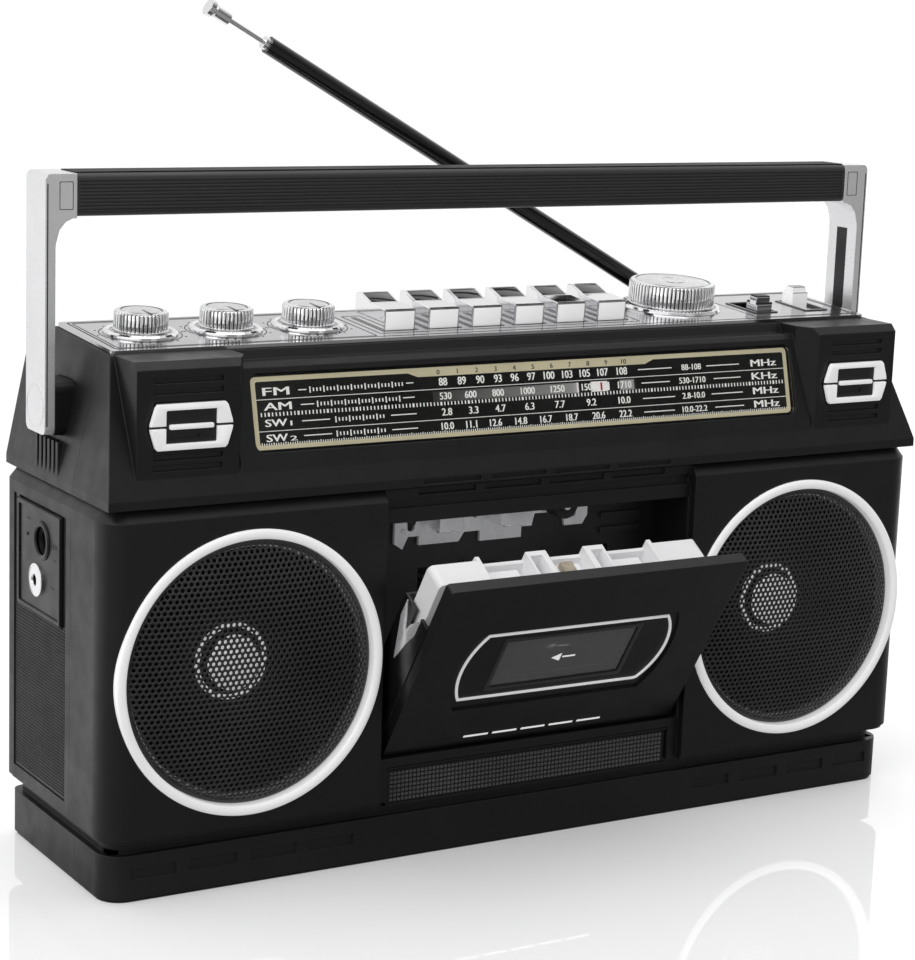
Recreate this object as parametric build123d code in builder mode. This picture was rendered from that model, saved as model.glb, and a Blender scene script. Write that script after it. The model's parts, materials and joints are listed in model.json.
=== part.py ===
from build123d import *
import math
import os

# Portable stereo radio cassette recorder with its cassette door open, its handle up and its
# aerial drawn out; millimetres, +X right, +Y to the rear, +Z up.
# Origin: centre of the base footprint, on the surface it stands on.
# "Depth" is always measured to the rear from the front plane of the loudspeaker panels.
os.makedirs("parts", exist_ok=True)

CUT = Mode.SUBTRACT
SIDES = (-1, 1)          # left, right

# ---------------------------------------------------------------- driving dimensions
FRONT_Y = -42.0          # front plane of the loudspeaker panels
HALF_W = 152.5           # half width of the main cabinet
DEPTH = 81.8             # cabinet depth
WALL = 2.4               # moulded wall
CLEAR = 0.05             # running clearance, radial
GAP = 0.3                # gap round the grip bar and the battery door
FRONT_SEAM, REAR_SEAM = 27.0, 77.5     # depths of the joints between the three shells
BASE_TOP, BODY_BOTTOM, BODY_TOP, SHOULDER = 14.9, 19.6, 118.1, 121.4
HOUSING_BOTTOM = 122.2
HOUSING_HALF_W = 152.0

# top plate: front edge, rise to the rear in degrees, size
PLATE_FRONT, PLATE_FRONT_Z = 20.3, 166.3
PLATE_TILT = 3.77
PLATE_HALF_W, PLATE_DEPTH, PLATE_T = 142.7, 42.7, 1.2

# loudspeakers
SPEAKER_X, SPEAKER_Z, GRILLE_R, RING_R = 104.2, 68.6, 41.7, 44.9

# cassette bay and door; door heights are measured along the door from its pivot
BAY_HALF_W, BAY_BOTTOM, BAY_TOP, BAY_WALL = 58.0, 34.0, 110.5, 1.6
DOOR_PIVOT_DEPTH, DOOR_PIVOT_Z, DOOR_PIVOT_R = 6.5, 38.5, 1.5
DOOR_OPEN = 32.1         # opening angle, degrees
DOOR_HALF_W, DOOR_LOW, DOOR_HIGH, DOOR_T = 55.6, -2.0, 71.6, 4.0

# compact cassette, in the plane of the door
TAPE_X, TAPE_W, TAPE_H = -4.0, 100.4, 63.8
TAPE_TOP = 66.5
TAPE_BOTTOM = TAPE_TOP - TAPE_H
TAPE_BACK, TAPE_FRONT = -14.5, -2.5    # faces of the thick section
TAPE_MID = (TAPE_BACK + TAPE_FRONT) / 2
SHELL_BACK, SHELL_FRONT = TAPE_MID - 4.35, TAPE_MID + 4.35
HUB_PITCH, HUB_UP = 42.5, 32.4
HUB_X = (TAPE_X - HUB_PITCH / 2, TAPE_X + HUB_PITCH / 2)

# handle and aerial
HANDLE_DEPTH, HANDLE_Z, HANDLE_PIN_R = 47.5, 146.0, 3.0
AERIAL_X, AERIAL_DEPTH, AERIAL_Z = 93.8, 72.0, 166.1
AERIAL_ELEVATION = 28.7  # above the horizontal, degrees

# controls; "up" values run to the rear along the top plate from its front edge
KNOB_X = (-124.0, -95.2, -66.5)
KNOB_UP = 21.6
TUNE_X, TUNE_UP = 78.0, 26.6
SHAFT_R = 3.0
KEY_PITCH, KEY_W = 16.3, 11.4
KEY_X = [-45.1 + KEY_PITCH * i for i in range(6)]      # left edges

# tape drive, (x, z)
CAPSTAN_X, CAPSTAN_Z = 15.0, 89.5
CAPSTAN = (CAPSTAN_X, CAPSTAN_Z)
MOTOR_X, MOTOR_Z = -36.0, 92.0
MOTOR = (MOTOR_X, MOTOR_Z)

# fastenings, feet and sockets
SCREWS = ((-136, 30), (136, 30), (-136, 108), (136, 108), (0, 108))    # (x, z)
SCREW_R = 1.5
FOOT_X, FOOT_FRONT, FOOT_REAR = (-128, 128), 14, 62
FOOT_R, FOOT_H = 6.0, 1.6
DC_JACK = (49.4, 103.5)        # (depth, z)
PHONE_JACK = (53.0, 90.4)


def y_at(depth):
    """Y of a point at a depth behind the front plane."""
    return FRONT_Y + depth


# ---------------------------------------------------------------- working planes
tilt = math.radians(PLATE_TILT)
opening = math.radians(DOOR_OPEN)
elevation = math.radians(AERIAL_ELEVATION)
DIAL_RUN, DIAL_RISE = 5.5, 21.6        # slope of the dial
dial_length = math.hypot(DIAL_RUN, DIAL_RISE)

# the top plate's upper face
TOP = Plane(origin=(0, y_at(PLATE_FRONT), PLATE_FRONT_Z), x_dir=(1, 0, 0),
            z_dir=(0, -math.sin(tilt), math.cos(tilt)))
DOOR = Plane(origin=(0, y_at(DOOR_PIVOT_DEPTH), DOOR_PIVOT_Z), x_dir=(1, 0, 0),
             z_dir=(0, -math.cos(opening), -math.sin(opening)))
DIAL = Plane(origin=(0, y_at(8.45), 147.0), x_dir=(1, 0, 0),
             z_dir=(0, -DIAL_RISE / dial_length, DIAL_RUN / dial_length))
# local x = X, y = Z, z = out of the front
FRONT = Plane(origin=(0, y_at(0), 0), x_dir=(1, 0, 0), z_dir=(0, -1, 0))
# z along the aerial, up to the left
AERIAL = Plane(origin=(AERIAL_X, y_at(AERIAL_DEPTH), AERIAL_Z), x_dir=(0, 1, 0),
               z_dir=(-math.cos(elevation), 0, math.sin(elevation)))


def seam(depth):
    """Upright plane at a depth, facing the rear."""
    return Plane(origin=(0, y_at(depth), 0), x_dir=(1, 0, 0), z_dir=(0, 1, 0))


def side_plane(x, side):
    """Plane at x facing left (-1) or right (1): local x = Y, y = side * Z."""
    return Plane(origin=(x, 0, 0), x_dir=(0, 1, 0), z_dir=(side, 0, 0))


# ---------------------------------------------------------------- shape helpers
def block(x0, x1, front, back, low, high, mode=Mode.ADD):
    """Box between two x, two depths and two heights."""
    with Locations(((x0 + x1) / 2, y_at((front + back) / 2), (low + high) / 2)):
        Box(abs(x1 - x0), abs(back - front), abs(high - low), mode=mode)


def block_on(plane, x0, x1, up0, up1, out0, out1, mode=Mode.ADD):
    """Box in a plane's own x, y (up) and z (out)."""
    centre = Location(((x0 + x1) / 2, (up0 + up1) / 2, (out0 + out1) / 2))
    with Locations(plane.location * centre):
        Box(abs(x1 - x0), abs(up1 - up0), abs(out1 - out0), mode=mode)


def rod_on(plane, x, up, out0, out1, radius, mode=Mode.ADD):
    with Locations(plane.location * Location((x, up, (out0 + out1) / 2))):
        Cylinder(radius, abs(out1 - out0), mode=mode)


def rod_y(x, z, front, back, radius, mode=Mode.ADD):
    with Locations(Location((x, y_at((front + back) / 2), z), (90, 0, 0))):
        Cylinder(radius, abs(back - front), mode=mode)


def rod_x(depth, z, x0, x1, radius, mode=Mode.ADD):
    with Locations(Location(((x0 + x1) / 2, y_at(depth), z), (0, 90, 0))):
        Cylinder(radius, abs(x1 - x0), mode=mode)


def rod_z(x, depth, low, high, radius, mode=Mode.ADD):
    with Locations(Location((x, y_at(depth), (low + high) / 2))):
        Cylinder(radius, abs(high - low), mode=mode)


def rounded(plane, x, y, width, height, radius, amount, mode=Mode.ADD):
    """Rounded rectangle centred at x, y of a plane, extruded out of it."""
    with BuildSketch(plane) as outline:
        with Locations((x, y)):
            RectangleRounded(width, height, radius)
    extrude(to_extrude=outline.sketch, amount=amount, mode=mode)


def footprint(z, half_w, front, back, front_r, rear_r, height, taper=0.0):
    """Rectangle with rounded front and rear corners, extruded up from z."""
    with BuildSketch(Plane.XY.offset(z)) as outline:
        with Locations((0, y_at((front + back) / 2))):
            Rectangle(2 * half_w, back - front)
        fillet(outline.vertices().sort_by(Axis.Y)[:2], front_r)
        fillet(outline.vertices().group_by(Axis.Y)[-1], rear_r)
    extrude(to_extrude=outline.sketch, amount=height, taper=taper)


def side_profile(points, x0, x1, mode=Mode.ADD):
    """Closed outline given as (depth, z), extruded from x0 to x1."""
    with BuildSketch(side_plane(x0, 1)) as outline:
        with BuildLine():
            Polyline(*[(y_at(depth), z) for depth, z in points], close=True)
        make_face()
    extrude(to_extrude=outline.sketch, amount=x1 - x0, mode=mode)


def front_profile(points, front, back, mode=Mode.ADD):
    """Closed outline given as (x, z), extruded between two depths."""
    with BuildSketch(FRONT.offset(-back)) as outline:
        with BuildLine():
            Polyline(*points, close=True)
        make_face()
    extrude(to_extrude=outline.sketch, amount=back - front, mode=mode)


def save(builder, name):
    builder.part.label = name
    export_step(builder.part, "parts/" + name + ".step")


# ---------------------------------------------------------------- cabinet envelope
# (depth, z): raked front, sloping top, trough for the folded aerial behind the top plate
HOUSING_OUTLINE = (
    (0, HOUSING_BOTTOM), (0, 125.0), (2.3, 130.0), (19.4, 164.95),
    (PLATE_FRONT - 0.6, 165.0), (PLATE_FRONT + 43.0, 167.84), (PLATE_FRONT + 43.0, 160.0),
    (79.6, 160.0), (81.8, 157.4), (81.8, HOUSING_BOTTOM),
)
with BuildPart() as housing:
    side_profile(HOUSING_OUTLINE, -HOUSING_HALF_W, HOUSING_HALF_W)
    # raked sides
    for side in SIDES:
        front_profile([(side * HOUSING_HALF_W, 125.0), (side * 143.3, 167.0),
                       (side * 142.6, 171.0), (side * 160, 171.0), (side * 160, 125.0)],
                      -2, 90, mode=CUT)

# end blocks with bevelled inner sides and a chamfered top front edge
with BuildPart() as end_blocks:
    for side in SIDES:
        with BuildSketch(Plane.XY.offset(129.0)):
            with BuildLine():
                Polyline((side * 109.0, y_at(2.5)), (side * 142.4, y_at(2.5)),
                         (side * 142.4, y_at(20.2)), (side * 104.6, y_at(20.2)),
                         (side * 104.6, y_at(10.0)), close=True)
            make_face()
        extrude(amount=36.2)
    side_profile([(2.4, 162.8), (4.9, 165.3), (2.0, 166.0), (2.0, 162.8)], -150, 150, mode=CUT)

LIP_H = 1.2              # stepped-in lower edge of the body
SHOULDER_TAPER = math.degrees(math.atan(2.5 / 3.3))
with BuildPart() as envelope:
    # base, recessed waist, body, tapered shoulder, recess under the housing
    footprint(0.0, 149.9, 4.0, 80.0, 7.5, 4, 1.0)
    footprint(1.0, 150.6, 3.3, 80.7, 8, 4, BASE_TOP - 1.0)
    footprint(BASE_TOP, 148.4, 5.6, 78.6, 7, 3, BODY_BOTTOM - BASE_TOP)
    footprint(BODY_BOTTOM, 151.5, 1.0, 80.8, 8, 4, LIP_H)
    footprint(BODY_BOTTOM + LIP_H, HALF_W, 0.0, DEPTH, 9, 5, BODY_TOP - BODY_BOTTOM - LIP_H)
    footprint(BODY_TOP, HALF_W, 0.0, DEPTH, 9, 5, SHOULDER - BODY_TOP, taper=SHOULDER_TAPER)
    footprint(SHOULDER, 149.2, 3.6, 78.6, 6, 3, HOUSING_BOTTOM - SHOULDER)
    add(housing.part)
    # dial fascia between the two end blocks
    side_profile([(1.8, 128.0), (10.7, 160.6), (12.0, 162.0), (20.4, 162.0), (20.4, 128.0)],
                 -108.0, 108.0)
    add(end_blocks.part)

# ---------------------------------------------------------------- hollow of the shells
NECK_HALF_W = 146.8
# (depth, z); open at the top under the top plate
UPPER_HOLLOW_OUTLINE = (
    (4.2, 124.6), (6.0, 129.0), (19.0, 158.0), (21.6, 162.2), (21.6, 172.0),
    (PLATE_FRONT + 40.8, 172.0), (PLATE_FRONT + 40.8, 157.6), (79.0, 157.6), (79.4, 124.6),
)
with BuildPart() as upper_hollow:
    side_profile(UPPER_HOLLOW_OUTLINE, -NECK_HALF_W, NECK_HALF_W)
    for side in SIDES:
        front_profile([(side * 149.4, 125.0), (side * 140.4, 167.0), (side * 139.6, 172.0),
                       (side * 160, 172.0), (side * 160, 124.0)], -2, 90, mode=CUT)

with BuildPart() as hollow:
    block(-148.0, 148.0, 6.6, 76.8, WALL, 16.0)
    block(-146.0, 146.0, 8.4, 75.6, 15.0, 20.5)
    block(-HALF_W + WALL, HALF_W - WALL, 5.6, DEPTH - WALL, BODY_BOTTOM + WALL, BODY_TOP - 1.0)
    block(-NECK_HALF_W, NECK_HALF_W, 6.5, 75.8, BODY_TOP - 2.0, 126.0)
    add(upper_hollow.part)

# ---------------------------------------------------------------- front cabinet
CENTRE_HALF_W, CENTRE_DEPTH = 58.6, 3.0        # set-back centre section
GRIP_HALF_W, GRIP_LOW, GRIP_HIGH = 54.3, 17.9, 30.7
EMBLEM_X, EMBLEM_Z = 125.2, 146.0
# x ranges of the grooves in the base and in the centre band
BASE_GROOVES = ((-142.4, -127.1), (-122.7, -106.5), (-102.0, -86.0), (-81.8, -65.8),
                (65.8, 82.0), (86.8, 103.0), (107.3, 123.3), (128.0, 142.4))
BAND_GROOVES = ((-46.3, -25.3), (-21.6, -0.9), (2.4, 23.6), (26.8, 47.8))


def octagon(corner_x, corner_z, top_x, top_z):
    """Long octagon: end corners at corner_x, corner_z; top corners at top_x, top_z."""
    Polygon((-corner_x, corner_z), (-top_x, top_z), (top_x, top_z), (corner_x, corner_z),
            (corner_x, -corner_z), (top_x, -top_z), (-top_x, -top_z), (-corner_x, -corner_z),
            align=None)


with BuildPart() as front_cabinet:
    add(envelope.part)
    split(bisect_by=seam(FRONT_SEAM), keep=Keep.BOTTOM)
    add(hollow.part, mode=CUT)
    # centre section stands behind the loudspeaker panels, with a groove near its top
    block(-CENTRE_HALF_W, CENTRE_HALF_W, -1, CENTRE_DEPTH, BODY_BOTTOM, SHOULDER + 0.01, mode=CUT)
    block(-CENTRE_HALF_W, CENTRE_HALF_W, CENTRE_DEPTH, 4.2, 115.2, 118.2, mode=CUT)
    # cassette bay: mouth, side walls with door pivot holes, floor
    block(-BAY_HALF_W, BAY_HALF_W, -1, 30, BAY_BOTTOM, BAY_TOP, mode=CUT)
    for side in SIDES:
        block(side * BAY_HALF_W, side * (BAY_HALF_W + BAY_WALL), 4.0, 26.0,
              BAY_BOTTOM - BAY_WALL, 117.0)
        rod_x(DOOR_PIVOT_DEPTH, DOOR_PIVOT_Z, side * (BAY_HALF_W - 1), side * (BAY_HALF_W + 3),
              DOOR_PIVOT_R + CLEAR, mode=CUT)
    block(-BAY_HALF_W - BAY_WALL, BAY_HALF_W + BAY_WALL, 5.0, 26.0,
          BAY_BOTTOM - BAY_WALL, BAY_BOTTOM)
    # seat for the grip bar under the door, and the wall behind it
    block(-GRIP_HALF_W - GAP, GRIP_HALF_W + GAP, 2.0, 8.0, GRIP_LOW - GAP, GRIP_HIGH + GAP,
          mode=CUT)
    block(-56.2, 56.2, 8.0, 9.4, 20.0, 32.5)
    # recesses for the front feet
    for x in FOOT_X:
        rod_z(x, FOOT_FRONT, -1, FOOT_H, FOOT_R + CLEAR, mode=CUT)
    # loudspeaker openings
    for side in SIDES:
        rod_y(side * SPEAKER_X, SPEAKER_Z, -2, 8, RING_R + 0.02, mode=CUT)
    for x0, x1 in BASE_GROOVES:
        block(x0, x1, 3.0, 4.1, 7.2, 10.9, mode=CUT)
    for x0, x1 in BAND_GROOVES:
        block(x0, x1, -1, 0.9, 123.0, 124.4, mode=CUT)
        block(x0, x1, 2.0, 3.9, 119.2, 121.0, mode=CUT)
    # opening for the dial scale
    rounded(DIAL.offset(-1.4), 0, 0, 205.0, 24.0, 3.0, 8, mode=CUT)
    block_on(DIAL, -98, 98, -9.5, 9.5, -12, -1, mode=CUT)
    # end blocks: emblem pockets, two short grooves above and two below each
    for side in SIDES:
        with BuildSketch(FRONT.offset(-4.0)):
            with Locations((side * EMBLEM_X, EMBLEM_Z)):
                octagon(13.6, 0.9, 11.4, 7.3)
        extrude(amount=4, mode=CUT)
        for z in (159.7, 156.4, 136.8, 133.5):
            block(side * 125.6 - 11.2, side * 125.6 + 11.2, 2.0, 3.5, z - 0.85, z + 0.85, mode=CUT)
save(front_cabinet, "front_cabinet")

# ---------------------------------------------------------------- middle cabinet
PANEL_RECESS = 1.1       # depth of the side panel recesses
RIB_PITCH = 3.3
AERIAL_STEM_R = 4.0
with BuildPart() as middle_cabinet:
    add(envelope.part)
    split(bisect_by=seam(FRONT_SEAM), keep=Keep.TOP)
    split(bisect_by=seam(REAR_SEAM), keep=Keep.BOTTOM)
    add(hollow.part, mode=CUT)
    for side in SIDES:
        # side panel recess, handle pivot opening and the moulded ribs under the handle
        block(side * (HALF_W - PANEL_RECESS), side * (HALF_W + 1), 31.0, 73.4, 25.0, 114.4,
              mode=CUT)
        rounded(side_plane(side * 138, side), y_at(HANDLE_DEPTH), side * HANDLE_Z,
                16.2, 16.8, 3.0, 18, mode=CUT)
        for i in range(6):
            block(side * 148.0, side * 151.9, 39.2 + RIB_PITCH * i, 40.9 + RIB_PITCH * i,
                  123.4, 136.0)
    # opening for the jack panel in the left side
    block(-153, -140, 35.2, 67.9, 81.0, 112.4, mode=CUT)
    # screw bosses and the webs that tie them to the walls
    for x, z in SCREWS:
        block(x - 4, x + 4, 60, 77.0, z - 4, z + 4)
    for side in SIDES:
        block(side * 139.0, side * 150.5, 70, 77.0, 26.5, 31.5)
        block(side * 139.0, side * 150.5, 70, 77.0, 105.5, 110.5)
    block(-4, 4, 60, 77.0, 109, 121)
    # recesses for the rear feet, seat of the aerial base
    for x in FOOT_X:
        rod_z(x, FOOT_REAR, -1, FOOT_H, FOOT_R + CLEAR, mode=CUT)
    rod_z(AERIAL_X, AERIAL_DEPTH, 150, 165, AERIAL_STEM_R + CLEAR, mode=CUT)
    # screw holes, drilled last so that the webs do not close them
    for x, z in SCREWS:
        rod_y(x, z, 58, 80, SCREW_R + CLEAR, mode=CUT)
save(middle_cabinet, "middle_cabinet")

# ---------------------------------------------------------------- rear cabinet
BATTERY_HALF_W, BATTERY_LOW, BATTERY_HIGH = 72.7, 22.7, 96.9     # battery door outline
HEAD_SEAT = 79.8         # depth of the seats of the screw heads
VENT_PITCH = 12
with BuildPart() as rear_cabinet:
    add(envelope.part)
    split(bisect_by=seam(REAR_SEAM), keep=Keep.TOP)
    add(hollow.part, mode=CUT)
    # battery compartment, its inside, and the rebate of its door
    block(-72.0, 72.0, 43.4, DEPTH - 1.0, 23.0, 96.2)
    block(-70.4, 70.4, 45.0, DEPTH + 1, 24.6, 94.6, mode=CUT)
    block(-BATTERY_HALF_W - GAP, BATTERY_HALF_W + GAP, 79.6, DEPTH + 1,
          BATTERY_LOW - GAP, BATTERY_HIGH + GAP, mode=CUT)
    for x, z in SCREWS:
        rod_y(x, z, 74, 90, 1.6, mode=CUT)
        rod_y(x, z, HEAD_SEAT, 90, 3.2, mode=CUT)
    # three rows of ventilation slots, interrupted at the centre screw
    for i in range(-7, 8):
        if i != 0:
            for z in (102.0, 107.0, 112.0):
                block(VENT_PITCH * i - 4.0, VENT_PITCH * i + 4.0, 76, 90, z, z + 2.0, mode=CUT)
save(rear_cabinet, "rear_cabinet")

# ---------------------------------------------------------------- feet, screws, battery door
with BuildPart() as feet:
    for depth in (FOOT_REAR, FOOT_FRONT):
        for x in FOOT_X:
            rod_z(x, depth, 0.0, FOOT_H, FOOT_R)
save(feet, "feet")

HEAD_REAR = 81.4
with BuildPart() as case_screws:
    for x, z in SCREWS:
        rod_y(x, z, 64, HEAD_SEAT, SCREW_R)
        rod_y(x, z, HEAD_SEAT, HEAD_REAR, 2.9)
        # cross slot
        for half_x, half_z in ((1.8, 0.4), (0.4, 1.8)):
            block(x - half_x, x + half_x, HEAD_REAR - 0.91, HEAD_REAR + 0.01,
                  z - half_z, z + half_z, mode=CUT)
save(case_screws, "case_screws")

with BuildPart() as battery_door:
    block(-BATTERY_HALF_W, BATTERY_HALF_W, 79.7, 81.6, BATTERY_LOW, BATTERY_HIGH)
    # finger grooves
    for i in range(6):
        block(-16, 16, 80.9, 83, 84.0 + 1.8 * i, 84.8 + 1.8 * i, mode=CUT)
    # tabs on the inner face
    block(-62, -52, 77.8, 79.7, 26.0, 27.4)
    block(52, 62, 77.8, 79.7, 26.0, 27.4)
save(battery_door, "battery_door")

# ---------------------------------------------------------------- side panels and sockets
PANEL_FACE = HALF_W - 0.3
RIDGE_PITCH = 1.02
with BuildPart() as side_panels:
    for side in SIDES:
        block(side * (HALF_W - PANEL_RECESS), side * PANEL_FACE, 31.2, 73.2, 25.2, 114.2)
        for i in range(40):
            block(side * PANEL_FACE, side * HALF_W,
                  32.4 + RIDGE_PITCH * i, 32.9 + RIDGE_PITCH * i, 26.2, 113.2)
    # opening for the jack panel
    block(-154, -150, 33.4, 69.7, 78.8, 114.4, mode=CUT)
save(side_panels, "side_panels")

with BuildPart() as jack_panel:
    block(-HALF_W - 0.2, -HALF_W + PANEL_RECESS, 34.0, 69.1, 79.5, 113.6)
    block(-HALF_W + PANEL_RECESS, -HALF_W + 5.5, 35.4, 67.7, 81.2, 112.2)
    rod_x(*DC_JACK, -160, -140, 4.3, mode=CUT)
    rod_x(*DC_JACK, -154, -152.0, 5.6, mode=CUT)
    rod_x(*PHONE_JACK, -160, -140, 3.6, mode=CUT)
save(jack_panel, "jack_panel")

with BuildPart() as dc_jack:
    rod_x(*DC_JACK, -151.8, -139.0, 4.25)
    block(-147.0, -135.0, 43.9, 54.9, 98.0, 109.0)
    rod_x(*DC_JACK, -160, -141.0, 3.1, mode=CUT)
    # centre pin
    rod_x(*DC_JACK, -149.5, -140.0, 0.9)
save(dc_jack, "dc_jack")

with BuildPart() as phone_jack:
    # barrel, flange, body, bore
    rod_x(*PHONE_JACK, -152.9, -147.0, 3.55)
    rod_x(*PHONE_JACK, -153.6, -152.7, 5.2)
    block(-147.0, -134.0, 48.0, 58.0, 85.4, 95.4)
    rod_x(*PHONE_JACK, -156, -137.0, 1.8, mode=CUT)
save(phone_jack, "phone_jack")

# ---------------------------------------------------------------- top plate
SLIDER_SLOTS = ((103.0, 111.0), (125.0, 133.0))        # x ranges
with BuildPart() as top_plate:
    rounded(TOP.offset(-PLATE_T), 0, PLATE_DEPTH / 2, 2 * PLATE_HALF_W, PLATE_DEPTH, 1.5, PLATE_T)
    # raised ring and shaft hole at each knob
    for x in KNOB_X:
        rod_on(TOP, x, KNOB_UP, 0, 1.0, 11.4)
        rod_on(TOP, x, KNOB_UP, 0.4, 2.0, 9.4, mode=CUT)
        rod_on(TOP, x, KNOB_UP, -3, 3, SHAFT_R + 0.2, mode=CUT)
    rod_on(TOP, TUNE_X, TUNE_UP, 0, 0.9, 16.2)
    rod_on(TOP, TUNE_X, TUNE_UP, 0.4, 2.0, 15.6, mode=CUT)
    rod_on(TOP, TUNE_X, TUNE_UP, -3, 3, SHAFT_R + 0.2, mode=CUT)
    for x in KEY_X:
        block_on(TOP, x - 0.25, x + KEY_W + 0.25, 9.9, 30.3, -3, 3, mode=CUT)
    for x0, x1 in SLIDER_SLOTS:
        block_on(TOP, x0, x1, 10.4, 26.0, -3, 3, mode=CUT)
save(top_plate, "top_plate")


# ---------------------------------------------------------------- knobs
def knurl(x, up, out0, out1, radius, count, groove):
    """Disc on the top plate with grooves of the given depth round its rim."""
    pitch = 2 * math.pi / count
    points = []
    for i in range(count):
        # (fraction of the pitch, radius): crest, then groove
        for fraction, r in ((0.0, radius), (0.42, radius),
                            (0.55, radius - groove), (0.87, radius - groove)):
            angle = pitch * (i + fraction)
            points.append((r * math.cos(angle), r * math.sin(angle)))
    with BuildSketch(TOP.offset(out0)) as outline:
        with Locations((x, up)):
            Polygon(*points, align=None)
    extrude(to_extrude=outline.sketch, amount=out1 - out0)


for name, x in zip(("volume_knob", "tone_knob", "balance_knob"), KNOB_X):
    with BuildPart() as knob:
        knurl(x, KNOB_UP, 0.6, 6.8, radius=8.5, count=44, groove=0.35)
        rod_on(TOP, x, KNOB_UP, 6.8, 7.6, 7.9)
        # pointer groove
        block_on(TOP, x - 0.6, x + 0.6, KNOB_UP - 8.2, KNOB_UP - 2.0, 7.1, 8.0, mode=CUT)
        rod_on(TOP, x, KNOB_UP, -7.5, 0.6, SHAFT_R)
    save(knob, name)

with BuildPart() as potentiometers:
    for x in KNOB_X:
        rod_on(TOP, x, KNOB_UP, -6.0, -PLATE_T, 5.0)
        block_on(TOP, x - 8.5, x + 8.5, KNOB_UP - 8.5, KNOB_UP + 8.5, -14.0, -6.0)
        rod_on(TOP, x, KNOB_UP, -8.0, 0, SHAFT_R + CLEAR, mode=CUT)
save(potentiometers, "potentiometers")

with BuildPart() as tuning_knob:
    knurl(TUNE_X, TUNE_UP, 1.2, 8.4, radius=15.0, count=64, groove=0.5)
    rod_on(TOP, TUNE_X, TUNE_UP, 0.6, 1.2, 15.2)
    rod_on(TOP, TUNE_X, TUNE_UP, 8.4, 9.3, 14.2)
    rod_on(TOP, TUNE_X, TUNE_UP, -9.0, 0.6, SHAFT_R)
save(tuning_knob, "tuning_knob")

with BuildPart() as tuning_capacitor:
    rod_on(TOP, TUNE_X, TUNE_UP, -7.0, -PLATE_T, 5.0)
    block_on(TOP, TUNE_X - 11, TUNE_X + 11, TUNE_UP - 11, TUNE_UP + 11, -22.0, -7.0)
    rod_on(TOP, TUNE_X, TUNE_UP, -9.5, 0, SHAFT_R + CLEAR, mode=CUT)
save(tuning_capacitor, "tuning_capacitor")

# ---------------------------------------------------------------- keys and sliders
KEY_NAMES = ("key_record", "key_play", "key_rewind", "key_fast_forward", "key_stop_eject",
             "key_pause")
# (up, out) from the side: flat front half, ramp rising to the rear
KEY_OUTLINE = (
    (10.2, -6.0), (10.2, 6.4), (10.5, 6.7), (19.6, 7.1), (20.2, 6.5), (27.6, 8.7),
    (29.6, 8.7), (30.0, 8.3), (30.0, -6.0),
)
for name, x in zip(KEY_NAMES, KEY_X):
    with BuildPart() as key:
        with BuildSketch(Plane(origin=(x, y_at(PLATE_FRONT), PLATE_FRONT_Z),
                               x_dir=TOP.y_dir, z_dir=(1, 0, 0))):
            with BuildLine():
                Polyline(*KEY_OUTLINE, close=True)
            make_face()
        extrude(amount=KEY_W)
        # stem under the key
        block_on(TOP, x + 4.5, x + 7.0, 16.0, 24.0, -15.0, -6.0)
    save(key, name)

# each slider: body in its slot, narrower tip, flange under the top plate
with BuildPart() as function_slider:
    block_on(TOP, 103.6, 110.4, 11.0, 17.0, -3.0, 2.6)
    block_on(TOP, 104.0, 110.0, 12.0, 16.0, 2.6, 5.0)
    block_on(TOP, 101.0, 113.0, 10.6, 17.4, -3.0, -1.6)
save(function_slider, "function_slider")

with BuildPart() as band_slider:
    block_on(TOP, 125.6, 132.4, 19.2, 25.2, -3.0, 4.2)
    block_on(TOP, 126.0, 132.0, 20.0, 24.4, 4.2, 6.0)
    block_on(TOP, 123.0, 135.0, 18.8, 25.6, -3.0, -1.6)
save(band_slider, "band_slider")

# ---------------------------------------------------------------- dial
with BuildPart() as dial_scale:
    rounded(DIAL.offset(-1.4), 0, 0, 203.4, 22.4, 1.6, 1.0)
    # slot in front of the pointer
    block_on(DIAL, -38.6, 38.7, 0.2, 3.5, -3, 1, mode=CUT)
save(dial_scale, "dial_scale")

with BuildPart() as dial_window:
    rounded(DIAL.offset(-0.3), 0, 0, 204.4, 23.4, 2.6, 0.9)
save(dial_window, "dial_window")

with BuildPart() as dial_pointer:
    block_on(DIAL, 22.7, 29.1, 0.5, 3.2, -3.0, -1.7)
    block_on(DIAL, 18.0, 34.0, -5.0, 7.0, -4.2, -3.0)
save(dial_pointer, "dial_pointer")

# ---------------------------------------------------------------- emblems and grip bar
with BuildPart() as emblem_frames:
    for side in SIDES:
        x = side * EMBLEM_X
        # backing plate
        with BuildSketch(FRONT.offset(-3.6)):
            with Locations((x, EMBLEM_Z)):
                octagon(13.4, 0.9, 11.2, 7.1)
        extrude(amount=2.0)
        # raised rim
        with BuildSketch(FRONT.offset(-1.8)):
            with Locations((x, EMBLEM_Z)):
                octagon(13.4, 0.6, 11.2, 6.9)
                Rectangle(17.0, 10.2, mode=CUT)
        extrude(amount=0.9)
        # a notch through each end of the rim, a bar across the middle
        block(x - 15, x - 8, 0.5, 2.2, EMBLEM_Z - 0.3, EMBLEM_Z + 0.3, mode=CUT)
        block(x + 8, x + 15, 0.5, 2.2, EMBLEM_Z - 0.3, EMBLEM_Z + 0.3, mode=CUT)
        block(x - 7.2, x + 7.2, 1.0, 2.0, EMBLEM_Z - 0.7, EMBLEM_Z + 0.7)
save(emblem_frames, "emblem_frames")

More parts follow.
